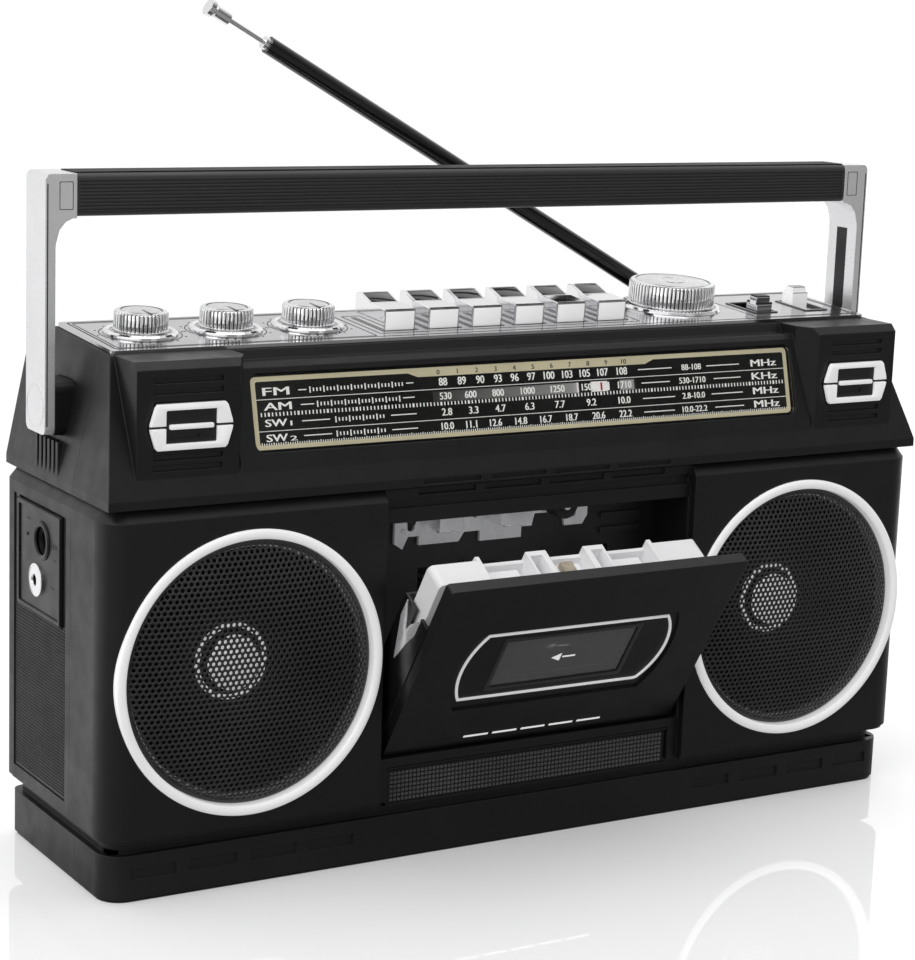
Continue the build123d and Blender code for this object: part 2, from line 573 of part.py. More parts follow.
with BuildPart() as grip_bar:
    block(-GRIP_HALF_W, GRIP_HALF_W, 4.2, 8.0, GRIP_LOW, GRIP_HIGH)
    # lips along the top and bottom edges
    side_profile([(4.2, 29.4), (3.3, 30.0), (3.3, GRIP_HIGH), (4.3, GRIP_HIGH), (4.3, 29.4)],
                 -GRIP_HALF_W, GRIP_HALF_W)
    side_profile([(4.2, GRIP_LOW), (3.6, 18.0), (3.6, 18.6), (4.3, 19.0)],
                 -GRIP_HALF_W, GRIP_HALF_W)
save(grip_bar, "grip_bar")

# ---------------------------------------------------------------- loudspeakers
# outlines as (radius, depth)
RING_OUTLINE = ((GRILLE_R, 3.4), (GRILLE_R, -0.4), (42.3, -1.1), (44.3, -1.1),
                (RING_R, -0.4), (RING_R, 3.4))
GRILLE_OUTLINE = ((0.0, -2.6), (15, -2.3), (28, -1.2), (37, 0.4), (41.6, 1.6),
                  (41.6, 2.6), (37, 1.4), (28, -0.2), (15, -1.3), (0.0, -1.6))
BASKET_OUTLINE = ((44.0, 3.6), (44.0, 4.8), (40.2, 4.8), (39.8, 11.0), (25.0, 24.0),
                  (25.0, 25.6), (9.4, 25.6), (9.4, 24.4), (23.8, 24.4), (38.6, 10.6),
                  (38.8, 3.6))
CONE_OUTLINE = ((38.6, 4.2), (38.6, 5.0), (36.6, 4.4), (35.2, 5.6), (12.6, 17.6),
                (12.6, 16.8), (35.0, 4.8), (36.6, 3.6))
# dust cap and voice coil former
CAP_OUTLINE = ((0, 11.8), (7, 12.8), (12.6, 16.8), (12.6, 17.6), (8.9, 17.6), (8.9, 28.0),
               (8.2, 28.0), (8.2, 17.0), (6.6, 13.8), (0, 12.7))


def turned(side, points):
    """Outline of (radius, depth) turned about the axis of one loudspeaker."""
    centre = (side * SPEAKER_X, 0, SPEAKER_Z)
    with BuildSketch(Plane(origin=centre, x_dir=(1, 0, 0), z_dir=(0, 0, -1))) as outline:
        with BuildLine():
            Polyline(*[(radius, -y_at(depth)) for radius, depth in points], close=True)
        make_face()
    revolve(profiles=outline.sketch, axis=Axis(centre, (0, 1, 0)))


with BuildPart() as speaker_rings:
    for side in SIDES:
        turned(side, RING_OUTLINE)
save(speaker_rings, "speaker_rings")

with BuildPart() as speaker_grilles:
    for side in SIDES:
        turned(side, GRILLE_OUTLINE)
save(speaker_grilles, "speaker_grilles")

with BuildPart() as speaker_frames:
    for side in SIDES:
        x = side * SPEAKER_X
        turned(side, BASKET_OUTLINE)
        # four windows in the basket
        for i in range(4):
            angle = math.radians(45 + 90 * i)
            rod_y(x + 33 * math.cos(angle), SPEAKER_Z + 33 * math.sin(angle), 10.5, 24.5, 7.0,
                  mode=CUT)
        # magnet with its annular gap and centre pole
        rod_y(x, SPEAKER_Z, 25.6, 37.0, 22.0)
        rod_y(x, SPEAKER_Z, 24.0, 32.0, 9.4, mode=CUT)
        rod_y(x, SPEAKER_Z, 24.4, 33.0, 7.2)
save(speaker_frames, "speaker_frames")

with BuildPart() as speaker_cones:
    for side in SIDES:
        turned(side, CONE_OUTLINE)
        turned(side, CAP_OUTLINE)
save(speaker_cones, "speaker_cones")

# ---------------------------------------------------------------- handle
BRACKET_X = 152.8        # inner face of the brackets
BRACKET_FRONT, BRACKET_BACK = 39.4, 54.8
BRACKET_LOW, BRACKET_HIGH = 138.2, 217.0
GRIP_END = 146.0         # half length of the grip
with BuildPart() as handle_brackets:
    for side in SIDES:
        rounded(side_plane(side * BRACKET_X, side),
                y_at(47.1), side * (BRACKET_LOW + BRACKET_HIGH) / 2,
                15.4, BRACKET_HIGH - BRACKET_LOW, 2.4, 3.2)
        # square upper end, and the arm turned in to the grip
        block(side * BRACKET_X, side * 156.0, BRACKET_FRONT, BRACKET_BACK, 200.0, BRACKET_HIGH)
        block(side * GRIP_END, side * 153.0, BRACKET_FRONT, BRACKET_BACK, 203.6, BRACKET_HIGH)
        # inner corner gusset
        front_profile([(side * 153.0, 203.8), (side * 147.0, 203.8), (side * 149.6, 202.6),
                       (side * 151.6, 200.2), (side * 152.6, 196.5), (side * 153.0, 194.0)],
                      BRACKET_FRONT, BRACKET_BACK)
        rod_x(HANDLE_DEPTH, HANDLE_Z, side * 150, side * 155.0, HANDLE_PIN_R + CLEAR, mode=CUT)
        # bevel of the upper outer edge
        front_profile([(side * 156.1, 215.3), (side * 156.1, 217.1), (side * 154.5, 217.1),
                       (side * 155.5, 216.4)], 38, 56, mode=CUT)
save(handle_brackets, "handle_brackets")

with BuildPart() as handle_grip:
    rounded(side_plane(-GRIP_END, 1), y_at(46.9), 210.5, 14.6, 13.0, 2.2, 2 * GRIP_END)
    # fine grooves along the front and rear, seat of the strip on top
    for i in range(9):
        low = 205.9 + 1.05 * i
        block(-145.0, 145.0, 39.0, 39.95, low, low + 0.4, mode=CUT)
        block(-145.0, 145.0, 53.9, 55.0, low, low + 0.4, mode=CUT)
    block(-146.1, 146.1, 41.4, 52.4, 216.4, 218, mode=CUT)
save(handle_grip, "handle_grip")

with BuildPart() as handle_strip:
    block(-GRIP_END, GRIP_END, 41.5, 52.3, 216.4, 217.3)
save(handle_strip, "handle_strip")

with BuildPart() as handle_pivots:
    for side in SIDES:
        rounded(side_plane(side * 143, side), y_at(HANDLE_DEPTH), side * HANDLE_Z,
                16.0, 16.6, 2.9, 9.7)
        rod_x(HANDLE_DEPTH, HANDLE_Z, side * 152.7, side * 154.8, HANDLE_PIN_R)
save(handle_pivots, "handle_pivots")

# ---------------------------------------------------------------- telescopic aerial
AERIAL_PIN_R = 1.2
SPIGOT_R = 2.3           # end of the knuckle inside the tube
TUBE_R, SECTION_R, ROD_R = 2.95, 2.2, 0.9      # outer radii, widest section first


def aerial_rod(start, end, radius, mode=Mode.ADD):
    """Cylinder along the aerial, measured from its pivot."""
    rod_on(AERIAL, 0, 0, start, end, radius, mode)


with BuildPart() as antenna_base:
    rod_z(AERIAL_X, AERIAL_DEPTH, 160.05, 161.9, 6.0)
    rod_z(AERIAL_X, AERIAL_DEPTH, 152.0, 160.05, AERIAL_STEM_R)
    # fork cheeks and pin
    for side in SIDES:
        inner, outer = AERIAL_DEPTH + side * 2.45, AERIAL_DEPTH + side * 4.4
        block(AERIAL_X - 3.6, AERIAL_X + 3.6, inner, outer, 161.9, AERIAL_Z)
        rod_y(AERIAL_X, AERIAL_Z, inner, outer, 3.6)
    rod_y(AERIAL_X, AERIAL_Z, AERIAL_DEPTH - 4.4, AERIAL_DEPTH + 4.4, AERIAL_PIN_R)
save(antenna_base, "antenna_base")

with BuildPart() as antenna_knuckle:
    rod_y(AERIAL_X, AERIAL_Z, AERIAL_DEPTH - 2.2, AERIAL_DEPTH + 2.2, 3.4)
    block_on(AERIAL, -2.2, 2.2, -2.4, 2.4, 1.5, 6.6)
    aerial_rod(6.2, 10.0, SPIGOT_R)
    rod_y(AERIAL_X, AERIAL_Z, AERIAL_DEPTH - 3, AERIAL_DEPTH + 3, AERIAL_PIN_R + CLEAR, mode=CUT)
save(antenna_knuckle, "antenna_knuckle")

with BuildPart() as antenna_tube:
    aerial_rod(6.6, 184.0, TUBE_R)
    aerial_rod(10.0, 190, 2.5, mode=CUT)
    aerial_rod(6.0, 10.1, SPIGOT_R, mode=CUT)
    # collar at the mouth
    aerial_rod(181.5, 184.0, TUBE_R)
    aerial_rod(180.0, 185, SECTION_R + CLEAR, mode=CUT)
save(antenna_tube, "antenna_tube")

with BuildPart() as antenna_section_2:
    aerial_rod(14.0, 185.8, SECTION_R)
    aerial_rod(14.0, 16.0, 2.45)
    aerial_rod(16.0, 190, 1.6, mode=CUT)
    aerial_rod(183.8, 185.8, 2.0)
    aerial_rod(182.0, 190, ROD_R + CLEAR, mode=CUT)
save(antenna_section_2, "antenna_section_2")

with BuildPart() as antenna_rod:
    aerial_rod(40.0, 201.0, ROD_R)
    aerial_rod(40.0, 42.0, 1.5)
    # tip
    aerial_rod(200.0, 205.4, 2.1)
    aerial_rod(205.4, 206.4, 1.5)
    aerial_rod(206.4, 208.2, 2.9)
save(antenna_rod, "antenna_rod")

# ---------------------------------------------------------------- cassette door
WINDOW_X0, WINDOW_X1, WINDOW_LOW, WINDOW_HIGH = -25.5, 23.5, 24.7, 45.0


def window_block(margin, out0, out1, mode=Mode.ADD):
    """Box the size of the door window, grown by a margin all round."""
    block_on(DOOR, WINDOW_X0 - margin, WINDOW_X1 + margin, WINDOW_LOW - margin,
             WINDOW_HIGH + margin, out0, out1, mode)


with BuildPart() as cassette_door:
    rounded(DOOR, 0, (DOOR_LOW + DOOR_HIGH) / 2, 2 * DOOR_HALF_W, DOOR_HIGH - DOOR_LOW, 1.2, DOOR_T)
    # shallow barrel-shaped recess round the window
    with BuildSketch(DOOR.offset(3.2)):
        with BuildLine():
            Line((-36.0, 15.6), (35.0, 15.6))
            ThreePointArc((35.0, 15.6), (40.4, 33.0), (37.0, 50.6))
            Line((37.0, 50.6), (-37.0, 50.6))
            ThreePointArc((-37.0, 50.6), (-41.4, 33.0), (-36.0, 15.6))
        make_face()
    extrude(amount=2, mode=CUT)
    window_block(0, -1, 6, mode=CUT)
    window_block(2, -1, 1.75, mode=CUT)
    # pivot lugs and pins
    for side in SIDES:
        block_on(DOOR, side * 53.6, side * DOOR_HALF_W, -1.9, 3.4, -2.0, 0.1)
        rod_x(DOOR_PIVOT_DEPTH, DOOR_PIVOT_Z, side * 53.6, side * 59.3, DOOR_PIVOT_R)
save(cassette_door, "cassette_door")

with BuildPart() as door_window:
    window_block(1.9, 0.6, 1.75)
    window_block(-0.08, 1.75, 2.9)
save(door_window, "door_window")

# ---------------------------------------------------------------- cassette holder
HOLDER_X0, HOLDER_X1, HOLDER_HIGH = -55.9, 48.0, 52.0
HOLDER_WALLS = ((HOLDER_X0, -54.8), (46.8, HOLDER_X1))
with BuildPart() as cassette_holder:
    for x0, x1 in HOLDER_WALLS:
        block_on(DOOR, x0, x1, 4.2, HOLDER_HIGH, -16.0, 0.0)
    # floor, and the pieces that join it to the walls
    block_on(DOOR, HOLDER_X0, HOLDER_X1, 1.0, 2.3, -15.6, -3.3)
    for x0, x1 in HOLDER_WALLS:
        block_on(DOOR, x0, x1, 1.0, 5.0, -15.6, -3.3)
    # rear lips
    for x0, x1 in ((HOLDER_X0, -47.0), (39.0, HOLDER_X1)):
        block_on(DOOR, x0, x1, 6.0, HOLDER_HIGH, -16.0, -15.2)
    # upper and lower tabs against the door
    for low, high in ((HOLDER_HIGH - 6, HOLDER_HIGH), (8.0, 14.0)):
        for x0, x1 in ((HOLDER_X0, -46.0), (38.0, HOLDER_X1)):
            block_on(DOOR, x0, x1, low, high, -1.4, 0.0)
    # notch at the top of each side wall
    for x0, x1 in ((-56.5, -54.0), (46.0, 49.0)):
        block_on(DOOR, x0, x1, 46.5, 53.0, -8.0, -4.4, mode=CUT)
save(cassette_holder, "cassette_holder")


# ---------------------------------------------------------------- cassette
def tape_cut(offset, half_w, low, high, back, front):
    """Cut a box out of the cassette, centred at an offset from its middle."""
    x = TAPE_X + offset
    block_on(DOOR, x - half_w, x + half_w, low, high, back, front, mode=CUT)


with BuildPart() as cassette_shell:
    rounded(DOOR.offset(SHELL_BACK), TAPE_X, (TAPE_BOTTOM + TAPE_TOP) / 2, TAPE_W, TAPE_H, 2.0,
            SHELL_FRONT - SHELL_BACK)
    # thick section along the upper edge
    with BuildSketch(DOOR.offset(TAPE_BACK)):
        with BuildLine():
            Polyline((TAPE_X - 35.0, 50.0), (TAPE_X + 35.0, 50.0), (TAPE_X + 33.0, TAPE_TOP),
                     (TAPE_X - 33.0, TAPE_TOP), close=True)
        make_face()
    extrude(amount=TAPE_FRONT - TAPE_BACK)
    # inside, hub holes, capstan holes
    tape_cut(0, 46.0, 11.4, 53.4, SHELL_BACK + 1.3, SHELL_FRONT - 1.3)
    for x in HUB_X:
        rod_on(DOOR, x, HUB_UP, SHELL_BACK - 3, SHELL_FRONT + 3, 5.6, mode=CUT)
    for side in SIDES:
        rod_on(DOOR, TAPE_X + side * 19.0, CAPSTAN_Z - DOOR_PIVOT_Z, TAPE_BACK - 1,
               TAPE_FRONT + 1, 3.2, mode=CUT)
    # mouths for the heads and rollers, shallower through the rear
    for offset, half_w in ((-23.0, 8.5), (0, 7.0), (23.0, 8.5)):
        tape_cut(offset, half_w, 58.0, TAPE_TOP + 1, TAPE_MID - 4.6, TAPE_MID + 4.6)
        tape_cut(offset, half_w, 63.0, TAPE_TOP + 1, TAPE_BACK - 1, TAPE_MID - 4.0)
    for offset in (-11.4, 11.4):
        tape_cut(offset, 2.2, 60.0, TAPE_TOP + 1, TAPE_MID - 4.0, TAPE_MID + 4.0)
    # write-protect notches in the lower edge, label field, opening between the hubs
    for offset in (-44.0, 44.0):
        tape_cut(offset, 3, TAPE_BOTTOM - 1, TAPE_BOTTOM + 3.0, SHELL_BACK + 2, SHELL_FRONT - 2)
    tape_cut(0, 46, 6.0, 47.5, SHELL_FRONT - 0.3, SHELL_FRONT + 1)
    tape_cut(0, 12, 26.5, 38.5, SHELL_FRONT - 2, SHELL_FRONT + 1)
save(cassette_shell, "cassette_shell")

# hubs with their tape packs
for name, x, pack_r in (("cassette_hub_left", HUB_X[0], 19.6),
                        ("cassette_hub_right", HUB_X[1], 13.0)):
    with BuildPart() as hub:
        rod_on(DOOR, x, HUB_UP, SHELL_BACK + 0.2, SHELL_FRONT - 0.2, 5.52)
        rod_on(DOOR, x, HUB_UP, SHELL_BACK + 1.7, SHELL_FRONT - 1.7, pack_r)
        rod_on(DOOR, x, HUB_UP, SHELL_BACK - 1, SHELL_FRONT + 1, 4.9, mode=CUT)
        # six teeth
        for i in range(6):
            turn = Location((x, HUB_UP, TAPE_MID), (0, 0, 60.0 * i))
            with Locations(DOOR.location * turn * Location((4.75, 0, 0))):
                Box(0.9, 1.3, SHELL_FRONT - SHELL_BACK - 0.4)
    save(hub, name)

# ---------------------------------------------------------------- tape deck
HUB_Z = DOOR_PIVOT_Z + HUB_UP
SPINDLE_R, DRIVE_SHAFT_R = 1.9, 1.0    # drive shafts: capstan and motor
DECK_FRONT, DECK_BACK = 23.0, 24.5
GUIDE_X = (-38.0, 24.0)                # pins that guide the head plate
with BuildPart() as deck_plate:
    block(-BAY_HALF_W, BAY_HALF_W, DECK_FRONT, DECK_BACK, BAY_BOTTOM, 117.0)
    # bearings and guide pins
    for x in HUB_X:
        rod_y(x, HUB_Z, 22.8, 26.0, 3.8)
    rod_y(*CAPSTAN, 21.4, 27.5, 2.6)
    for x in GUIDE_X:
        rod_y(x, 106.0, 20.4, DECK_FRONT, 1.25)
    # raised ribs on the front face
    block(-45.5, -40, 21.6, DECK_FRONT, 58.0, 60.0)
    block(36, 52, 21.8, DECK_FRONT, 96.0, 98.0)
    block(36, 52, 21.8, DECK_FRONT, 101.0, 103.0)
    block(-16, 8, 22.0, DECK_FRONT, 44.0, 46.0)
    block(-16, 8, 22.0, DECK_FRONT, 50.0, 52.0)
    # bearing bores
    for x in HUB_X:
        rod_y(x, HUB_Z, 15, 40, SPINDLE_R + CLEAR, mode=CUT)
    rod_y(*CAPSTAN, 15, 40, DRIVE_SHAFT_R + CLEAR, mode=CUT)
    # rectangular openings
    block(-34, -26, 20, 30, 82.0, 90.0, mode=CUT)
    block(30, 40, 20, 30, 84.0, 92.0, mode=CUT)
    block(-9, 1, 20, 30, 60.0, 78.0, mode=CUT)
save(deck_plate, "deck_plate")

PINCH = (CAPSTAN_X, 109.0)     # pinch roller axis (x, z)
PINCH_PIN_R = 1.2
# (x, z)
HEAD_PLATE_OUTLINE = (
    (-44, 99), (-41, 97), (-39, 101), (-35, 101), (-35, 98), (-20, 98), (-18, 101),
    (-12, 101), (-12, 97.5), (4, 97.5), (4, 101), (8, 101), (9, 105), (20, 105), (21, 100),
    (28, 100), (30, 103), (30, 116), (12, 116), (10, 112.5), (2, 112.5), (0, 116),
    (-20, 116), (-22, 110), (-30, 110), (-32, 116), (-44, 116),
)
with BuildPart() as head_plate:
    with BuildSketch(FRONT.offset(-22.5)):
        with BuildLine():
            Polyline(*HEAD_PLATE_OUTLINE, close=True)
        make_face()
        for x in GUIDE_X:
            with Locations((x, 108.0)):
                SlotOverall(10.6, 2.7, rotation=90, mode=CUT)
        with Locations((-14, 106.5), (-5, 106.5)):
            Circle(1.1, mode=CUT)
    extrude(amount=1.2)
    # the two heads and their mounts: x, half width
    for x, half_w in ((TAPE_X, 6.0), (TAPE_X - 24.6, 4.4)):
        block(x - half_w, x + half_w, 11.6, 18.4, 104.4, 111.0)
        block(x - half_w - 0.8, x + half_w + 0.8, 18.4, 21.4, 108.6, 111.0)
    rod_y(*PINCH, 10.6, 21.4, PINCH_PIN_R)
save(head_plate, "head_plate")

with BuildPart() as pinch_roller:
    rod_y(*PINCH, 11.6, 18.6, 4.3)
    rod_y(*PINCH, 10.9, 19.3, 2.2)
    rod_y(*PINCH, 5, 30, PINCH_PIN_R + CLEAR, mode=CUT)
save(pinch_roller, "pinch_roller")

for name, x in zip(("spindle_left", "spindle_right"), HUB_X):
    with BuildPart() as spindle:
        # shaft, front and rear discs, conical nose with its tip
        rod_y(x, HUB_Z, 16.0, 27.5, SPINDLE_R)
        rod_y(x, HUB_Z, 21.3, 22.4, 9.0)
        rod_y(x, HUB_Z, 26.2, 27.5, 10.0)
        with Locations(Location((x, y_at(15.2), HUB_Z), (90, 0, 0))):
            Cone(SPINDLE_R, 1.0, 1.6)
        rod_y(x, HUB_Z, 13.4, 14.5, 1.0)
        # three splines
        for i in range(3):
            centre = Location((x, y_at(18.9), HUB_Z), (90, 0, 0))
            turn = Location((0, 0, 0), (0, 0, 120.0 * i + 30))
            with Locations(centre * turn * Location((SPINDLE_R, 0, 0))):
                Box(1.4, 0.9, 4.6)
    save(spindle, name)

# ---------------------------------------------------------------- motor, belt and flywheel
FLYWHEEL_R, PULLEY_R = 15.0, 3.75      # where the belt runs
BELT_FRONT, BELT_BACK = 29.5, 31.5
with BuildPart() as flywheel:
    rod_y(*CAPSTAN, 13.6, 33.5, DRIVE_SHAFT_R)
    rod_y(*CAPSTAN, 28.4, 29.4, FLYWHEEL_R + 1)
    rod_y(*CAPSTAN, 29.4, 31.6, FLYWHEEL_R)
    rod_y(*CAPSTAN, 31.6, 32.6, FLYWHEEL_R + 1)
save(flywheel, "flywheel")

with BuildPart() as motor_pulley:
    rod_y(*MOTOR, 28.6, 29.4, 4.4)
    rod_y(*MOTOR, 29.4, 31.6, PULLEY_R)
    rod_y(*MOTOR, 31.6, 32.4, 4.4)
    rod_y(*MOTOR, 28.0, 40.0, DRIVE_SHAFT_R)
save(motor_pulley, "motor_pulley")

with BuildPart() as drive_belt:
    # outer hull of the two wheels, less the inner one
    for grow, mode in ((1.3, Mode.ADD), (0.06, CUT)):
        with BuildSketch(FRONT.offset(-BELT_BACK)) as loop:
            with Locations(MOTOR):
                Circle(PULLEY_R + grow)
            with Locations(CAPSTAN):
                Circle(FLYWHEEL_R + grow)
            make_hull()
        extrude(to_extrude=loop.sketch, amount=BELT_BACK - BELT_FRONT, mode=mode)
save(drive_belt, "drive_belt")

with BuildPart() as drive_motor:
    rod_y(*MOTOR, 35.5, 42.9, 12.0)
    rod_y(*MOTOR, 34.6, 35.5, 4.0)
    # mounting plate and its two legs to the deck plate
    block(MOTOR_X - 14, MOTOR_X + 14, 34.0, 35.5, MOTOR_Z - 13, 107.0)
    block(MOTOR_X - 14, MOTOR_X - 10, DECK_BACK, 35.5, 105.2, 107.0)
    block(MOTOR_X + 10, MOTOR_X + 14, DECK_BACK, 35.5, 107.0, 108.8)
    rod_y(*MOTOR, 30, 41, DRIVE_SHAFT_R + CLEAR, mode=CUT)
    rod_y(*MOTOR, 30, 34.6, 3.0, mode=CUT)
save(drive_motor, "drive_motor")

# ---------------------------------------------------------------- electronics
BOARD_TOP = 119.6
# upright cylinders: x, depth, radius, height
BOARD_CANS = ((-100, 52, 5, 9.6), (-84, 66, 5, 9.6), (-60, 52, 4, 7.2), (60, 66, 6.5, 12.8),
              (100, 52, 4, 7.2), (104, 66, 3, 5.6), (24, 66, 4, 7.2))
# low boxes: x, depth, size in x, size in y
BOARD_BOXES = ((-30, 56, 18, 7), (12, 54, 22, 7), (44, 52, 14, 8), (-104, 68, 10, 10))
with BuildPart() as main_board:
    block(-112, 112, 44.0, 75.6, 118.0, BOARD_TOP)
    # notch round the centre screw boss
    block(-4.4, 4.4, 59.6, 80.0, 117.0, 120.0, mode=CUT)
    for x, depth, radius, height in BOARD_CANS:
        rod_z(x, depth, BOARD_TOP, BOARD_TOP + height, radius)
    for x, depth, size_x, size_y in BOARD_BOXES:
        block(x - size_x / 2, x + size_x / 2, depth - size_y / 2, depth + size_y / 2,
              BOARD_TOP, 123.0)
    block(76, 96, 50.0, 62.0, BOARD_TOP, 128.0)
save(main_board, "main_board")

with BuildPart() as ferrite_antenna:
    # rod, two coils, two holders
    rod_x(54.0, 138.0, -92, -8, 4.6)
    rod_x(54.0, 138.0, -84, -66, 5.6)
    rod_x(54.0, 138.0, -34, -20, 5.6)
    block(-60, -56, 49.0, 79.0, 132.0, 144.0)
    block(-44, -40, 49.0, 79.0, 132.0, 144.0)
save(ferrite_antenna, "ferrite_antenna")
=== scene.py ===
"""Portable stereo radio with an open cassette door, a handle and two round loudspeakers.

The frame is in metres: X to the right across the front, Y to the rear, Z up. The front face lies
at Y = -42 mm. Pieces are drawn in millimetres on planes, as (x, y, height out of the plane), and
depths are measured from the front face to the rear. Left is -X and right is +X throughout.
"""

import bpy
import bmesh
import json
import math
from mathutils import Matrix, Vector


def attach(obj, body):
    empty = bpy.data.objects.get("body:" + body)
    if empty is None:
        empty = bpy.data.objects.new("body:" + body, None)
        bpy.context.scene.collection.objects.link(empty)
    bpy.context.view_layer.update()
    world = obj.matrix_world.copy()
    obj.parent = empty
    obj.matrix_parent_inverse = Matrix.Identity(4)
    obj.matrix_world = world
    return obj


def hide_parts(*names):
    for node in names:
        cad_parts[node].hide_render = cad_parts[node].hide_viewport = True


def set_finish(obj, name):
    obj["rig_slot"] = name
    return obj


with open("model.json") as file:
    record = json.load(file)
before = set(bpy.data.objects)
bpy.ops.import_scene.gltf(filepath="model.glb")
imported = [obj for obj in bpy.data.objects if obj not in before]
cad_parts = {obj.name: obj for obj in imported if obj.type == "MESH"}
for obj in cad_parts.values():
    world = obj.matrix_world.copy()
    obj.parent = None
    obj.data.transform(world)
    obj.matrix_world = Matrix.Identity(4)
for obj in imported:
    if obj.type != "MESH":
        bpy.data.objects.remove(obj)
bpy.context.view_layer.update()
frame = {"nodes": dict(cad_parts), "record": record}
NODES = frame["nodes"]
SLOT_OF = {part["node"]: part["material_slot"] for part in frame["record"]["subparts"]}
MM = 0.001
FRONT_Y = -42.0
HALF_WIDTH = 152.5
BACK_DEPTH = 81.8
SIDES = ((-1, "left"), (1, "right"))


# ---------------------------------------------------------------- drawing planes
def plane_at(x, depth, z, x_axis, normal):
    """Matrix from local millimetres to the frame in metres."""
    across = Vector(x_axis).normalized()
    out = Vector(normal).normalized()
    axes = (across, out.cross(across), out, Vector((x, FRONT_Y + depth, z)))
    return Matrix([[axis[i] * MM for axis in axes] for i in range(3)] + [[0, 0, 0, 1]])


def shifted(plane, x, y, height=0.0):
    return plane @ Matrix.Translation(Vector((x, y, height)))


TOP_TILT = math.radians(3.77)
DOOR_TILT = math.radians(32.1)      # the open door leans forward at its top
DOOR_HINGE = (6.5, 38.5)            # depth, z
DOOR_UP = (0, -math.sin(DOOR_TILT), math.cos(DOOR_TILT))
DIAL_SLOPE = (21.6, 5.5)            # forward and upward parts of the dial's normal
DIAL_LENGTH = math.hypot(*DIAL_SLOPE)

TOP = plane_at(0, 20.3, 166.3, (1, 0, 0), (0, -math.sin(TOP_TILT), math.cos(TOP_TILT)))
DOOR = plane_at(0, *DOOR_HINGE, (1, 0, 0), (0, -math.cos(DOOR_TILT), -math.sin(DOOR_TILT)))
DIAL = plane_at(0, 8.45, 147.0, (1, 0, 0),
                (0, -DIAL_SLOPE[0] / DIAL_LENGTH, DIAL_SLOPE[1] / DIAL_LENGTH))
FRONT = plane_at(0, 0, 0, (1, 0, 0), (0, -1, 0))
LEFT = plane_at(-HALF_WIDTH, 0, 0, (0, -1, 0), (-1, 0, 0))    # local x = -depth, y = Z
RIGHT = plane_at(HALF_WIDTH, 0, 0, (0, 1, 0), (1, 0, 0))      # local x = depth, y = Z
BACK = plane_at(0, BACK_DEPTH, 0, (-1, 0, 0), (0, 1, 0))      # local x = -X, y = Z


# ---------------------------------------------------------------- outlines
def offset(outline, inset):
    """Moves a counter-clockwise outline inwards, with mitred corners."""
    moved = []
    for i, (x, y) in enumerate(outline):
        before, after = outline[i - 1], outline[(i + 1) % len(outline)]
        edge_in = Vector((x - before[0], y - before[1])).normalized()
        edge_out = Vector((after[0] - x, after[1] - y)).normalized()
        normal_in = Vector((-edge_in.y, edge_in.x))
        miter = normal_in + Vector((-edge_out.y, edge_out.x))
        if miter.length < 1e-6:
            miter = normal_in
        miter.normalize()
        reach = inset / max(0.35, miter.dot(normal_in))
        moved.append((x + miter.x * reach, y + miter.y * reach))
    return moved


def ccw(outline):
    """The outline in counter-clockwise order."""
    area = sum(outline[i - 1][0] * outline[i][1] - outline[i][0] * outline[i - 1][1]
               for i in range(len(outline)))
    return outline[::-1] if area < 0 else outline


def circle(x, y, radius, count=64):
    return [(x + radius * math.cos(2 * math.pi * i / count),
             y + radius * math.sin(2 * math.pi * i / count)) for i in range(count)]


def rect(x0, x1, y0, y1, corner=0.0, steps=5):
    if corner <= 0:
        return [(x0, y0), (x1, y0), (x1, y1), (x0, y1)]
    points = []
    for cx, cy, start in ((x1 - corner, y0 + corner, -90), (x1 - corner, y1 - corner, 0),
                          (x0 + corner, y1 - corner, 90), (x0 + corner, y0 + corner, 180)):
        for i in range(steps + 1):
            angle = math.radians(start + 90.0 * i / steps)
            points.append((cx + corner * math.cos(angle), cy + corner * math.sin(angle)))
    return points


def arc_through(first, middle, last, steps):
    """Points on the arc from first through middle to last, both ends included."""
    ax, ay, bx, by, cx, cy = *first, *middle, *last
    a2, b2, c2 = ax * ax + ay * ay, bx * bx + by * by, cx * cx + cy * cy
    scale = 2 * (ax * (by - cy) + bx * (cy - ay) + cx * (ay - by))
    x = (a2 * (by - cy) + b2 * (cy - ay) + c2 * (ay - by)) / scale
    y = (a2 * (cx - bx) + b2 * (ax - cx) + c2 * (bx - ax)) / scale
    start, through, end = (math.atan2(py - y, px - x) for px, py in (first, middle, last))
    radius = math.hypot(ax - x, ay - y)
    sweep = (end - start) % (2 * math.pi)
    if (through - start) % (2 * math.pi) > sweep:
        sweep -= 2 * math.pi
    return [(x + radius * math.cos(start + sweep * i / steps),
             y + radius * math.sin(start + sweep * i / steps)) for i in range(steps + 1)]


def oval(radius, height, half_width, half_height, degrees):
    """Part of an oval as a lathe profile."""
    return [(radius + half_width * math.cos(math.radians(a)),
             height + half_height * math.sin(math.radians(a))) for a in degrees]


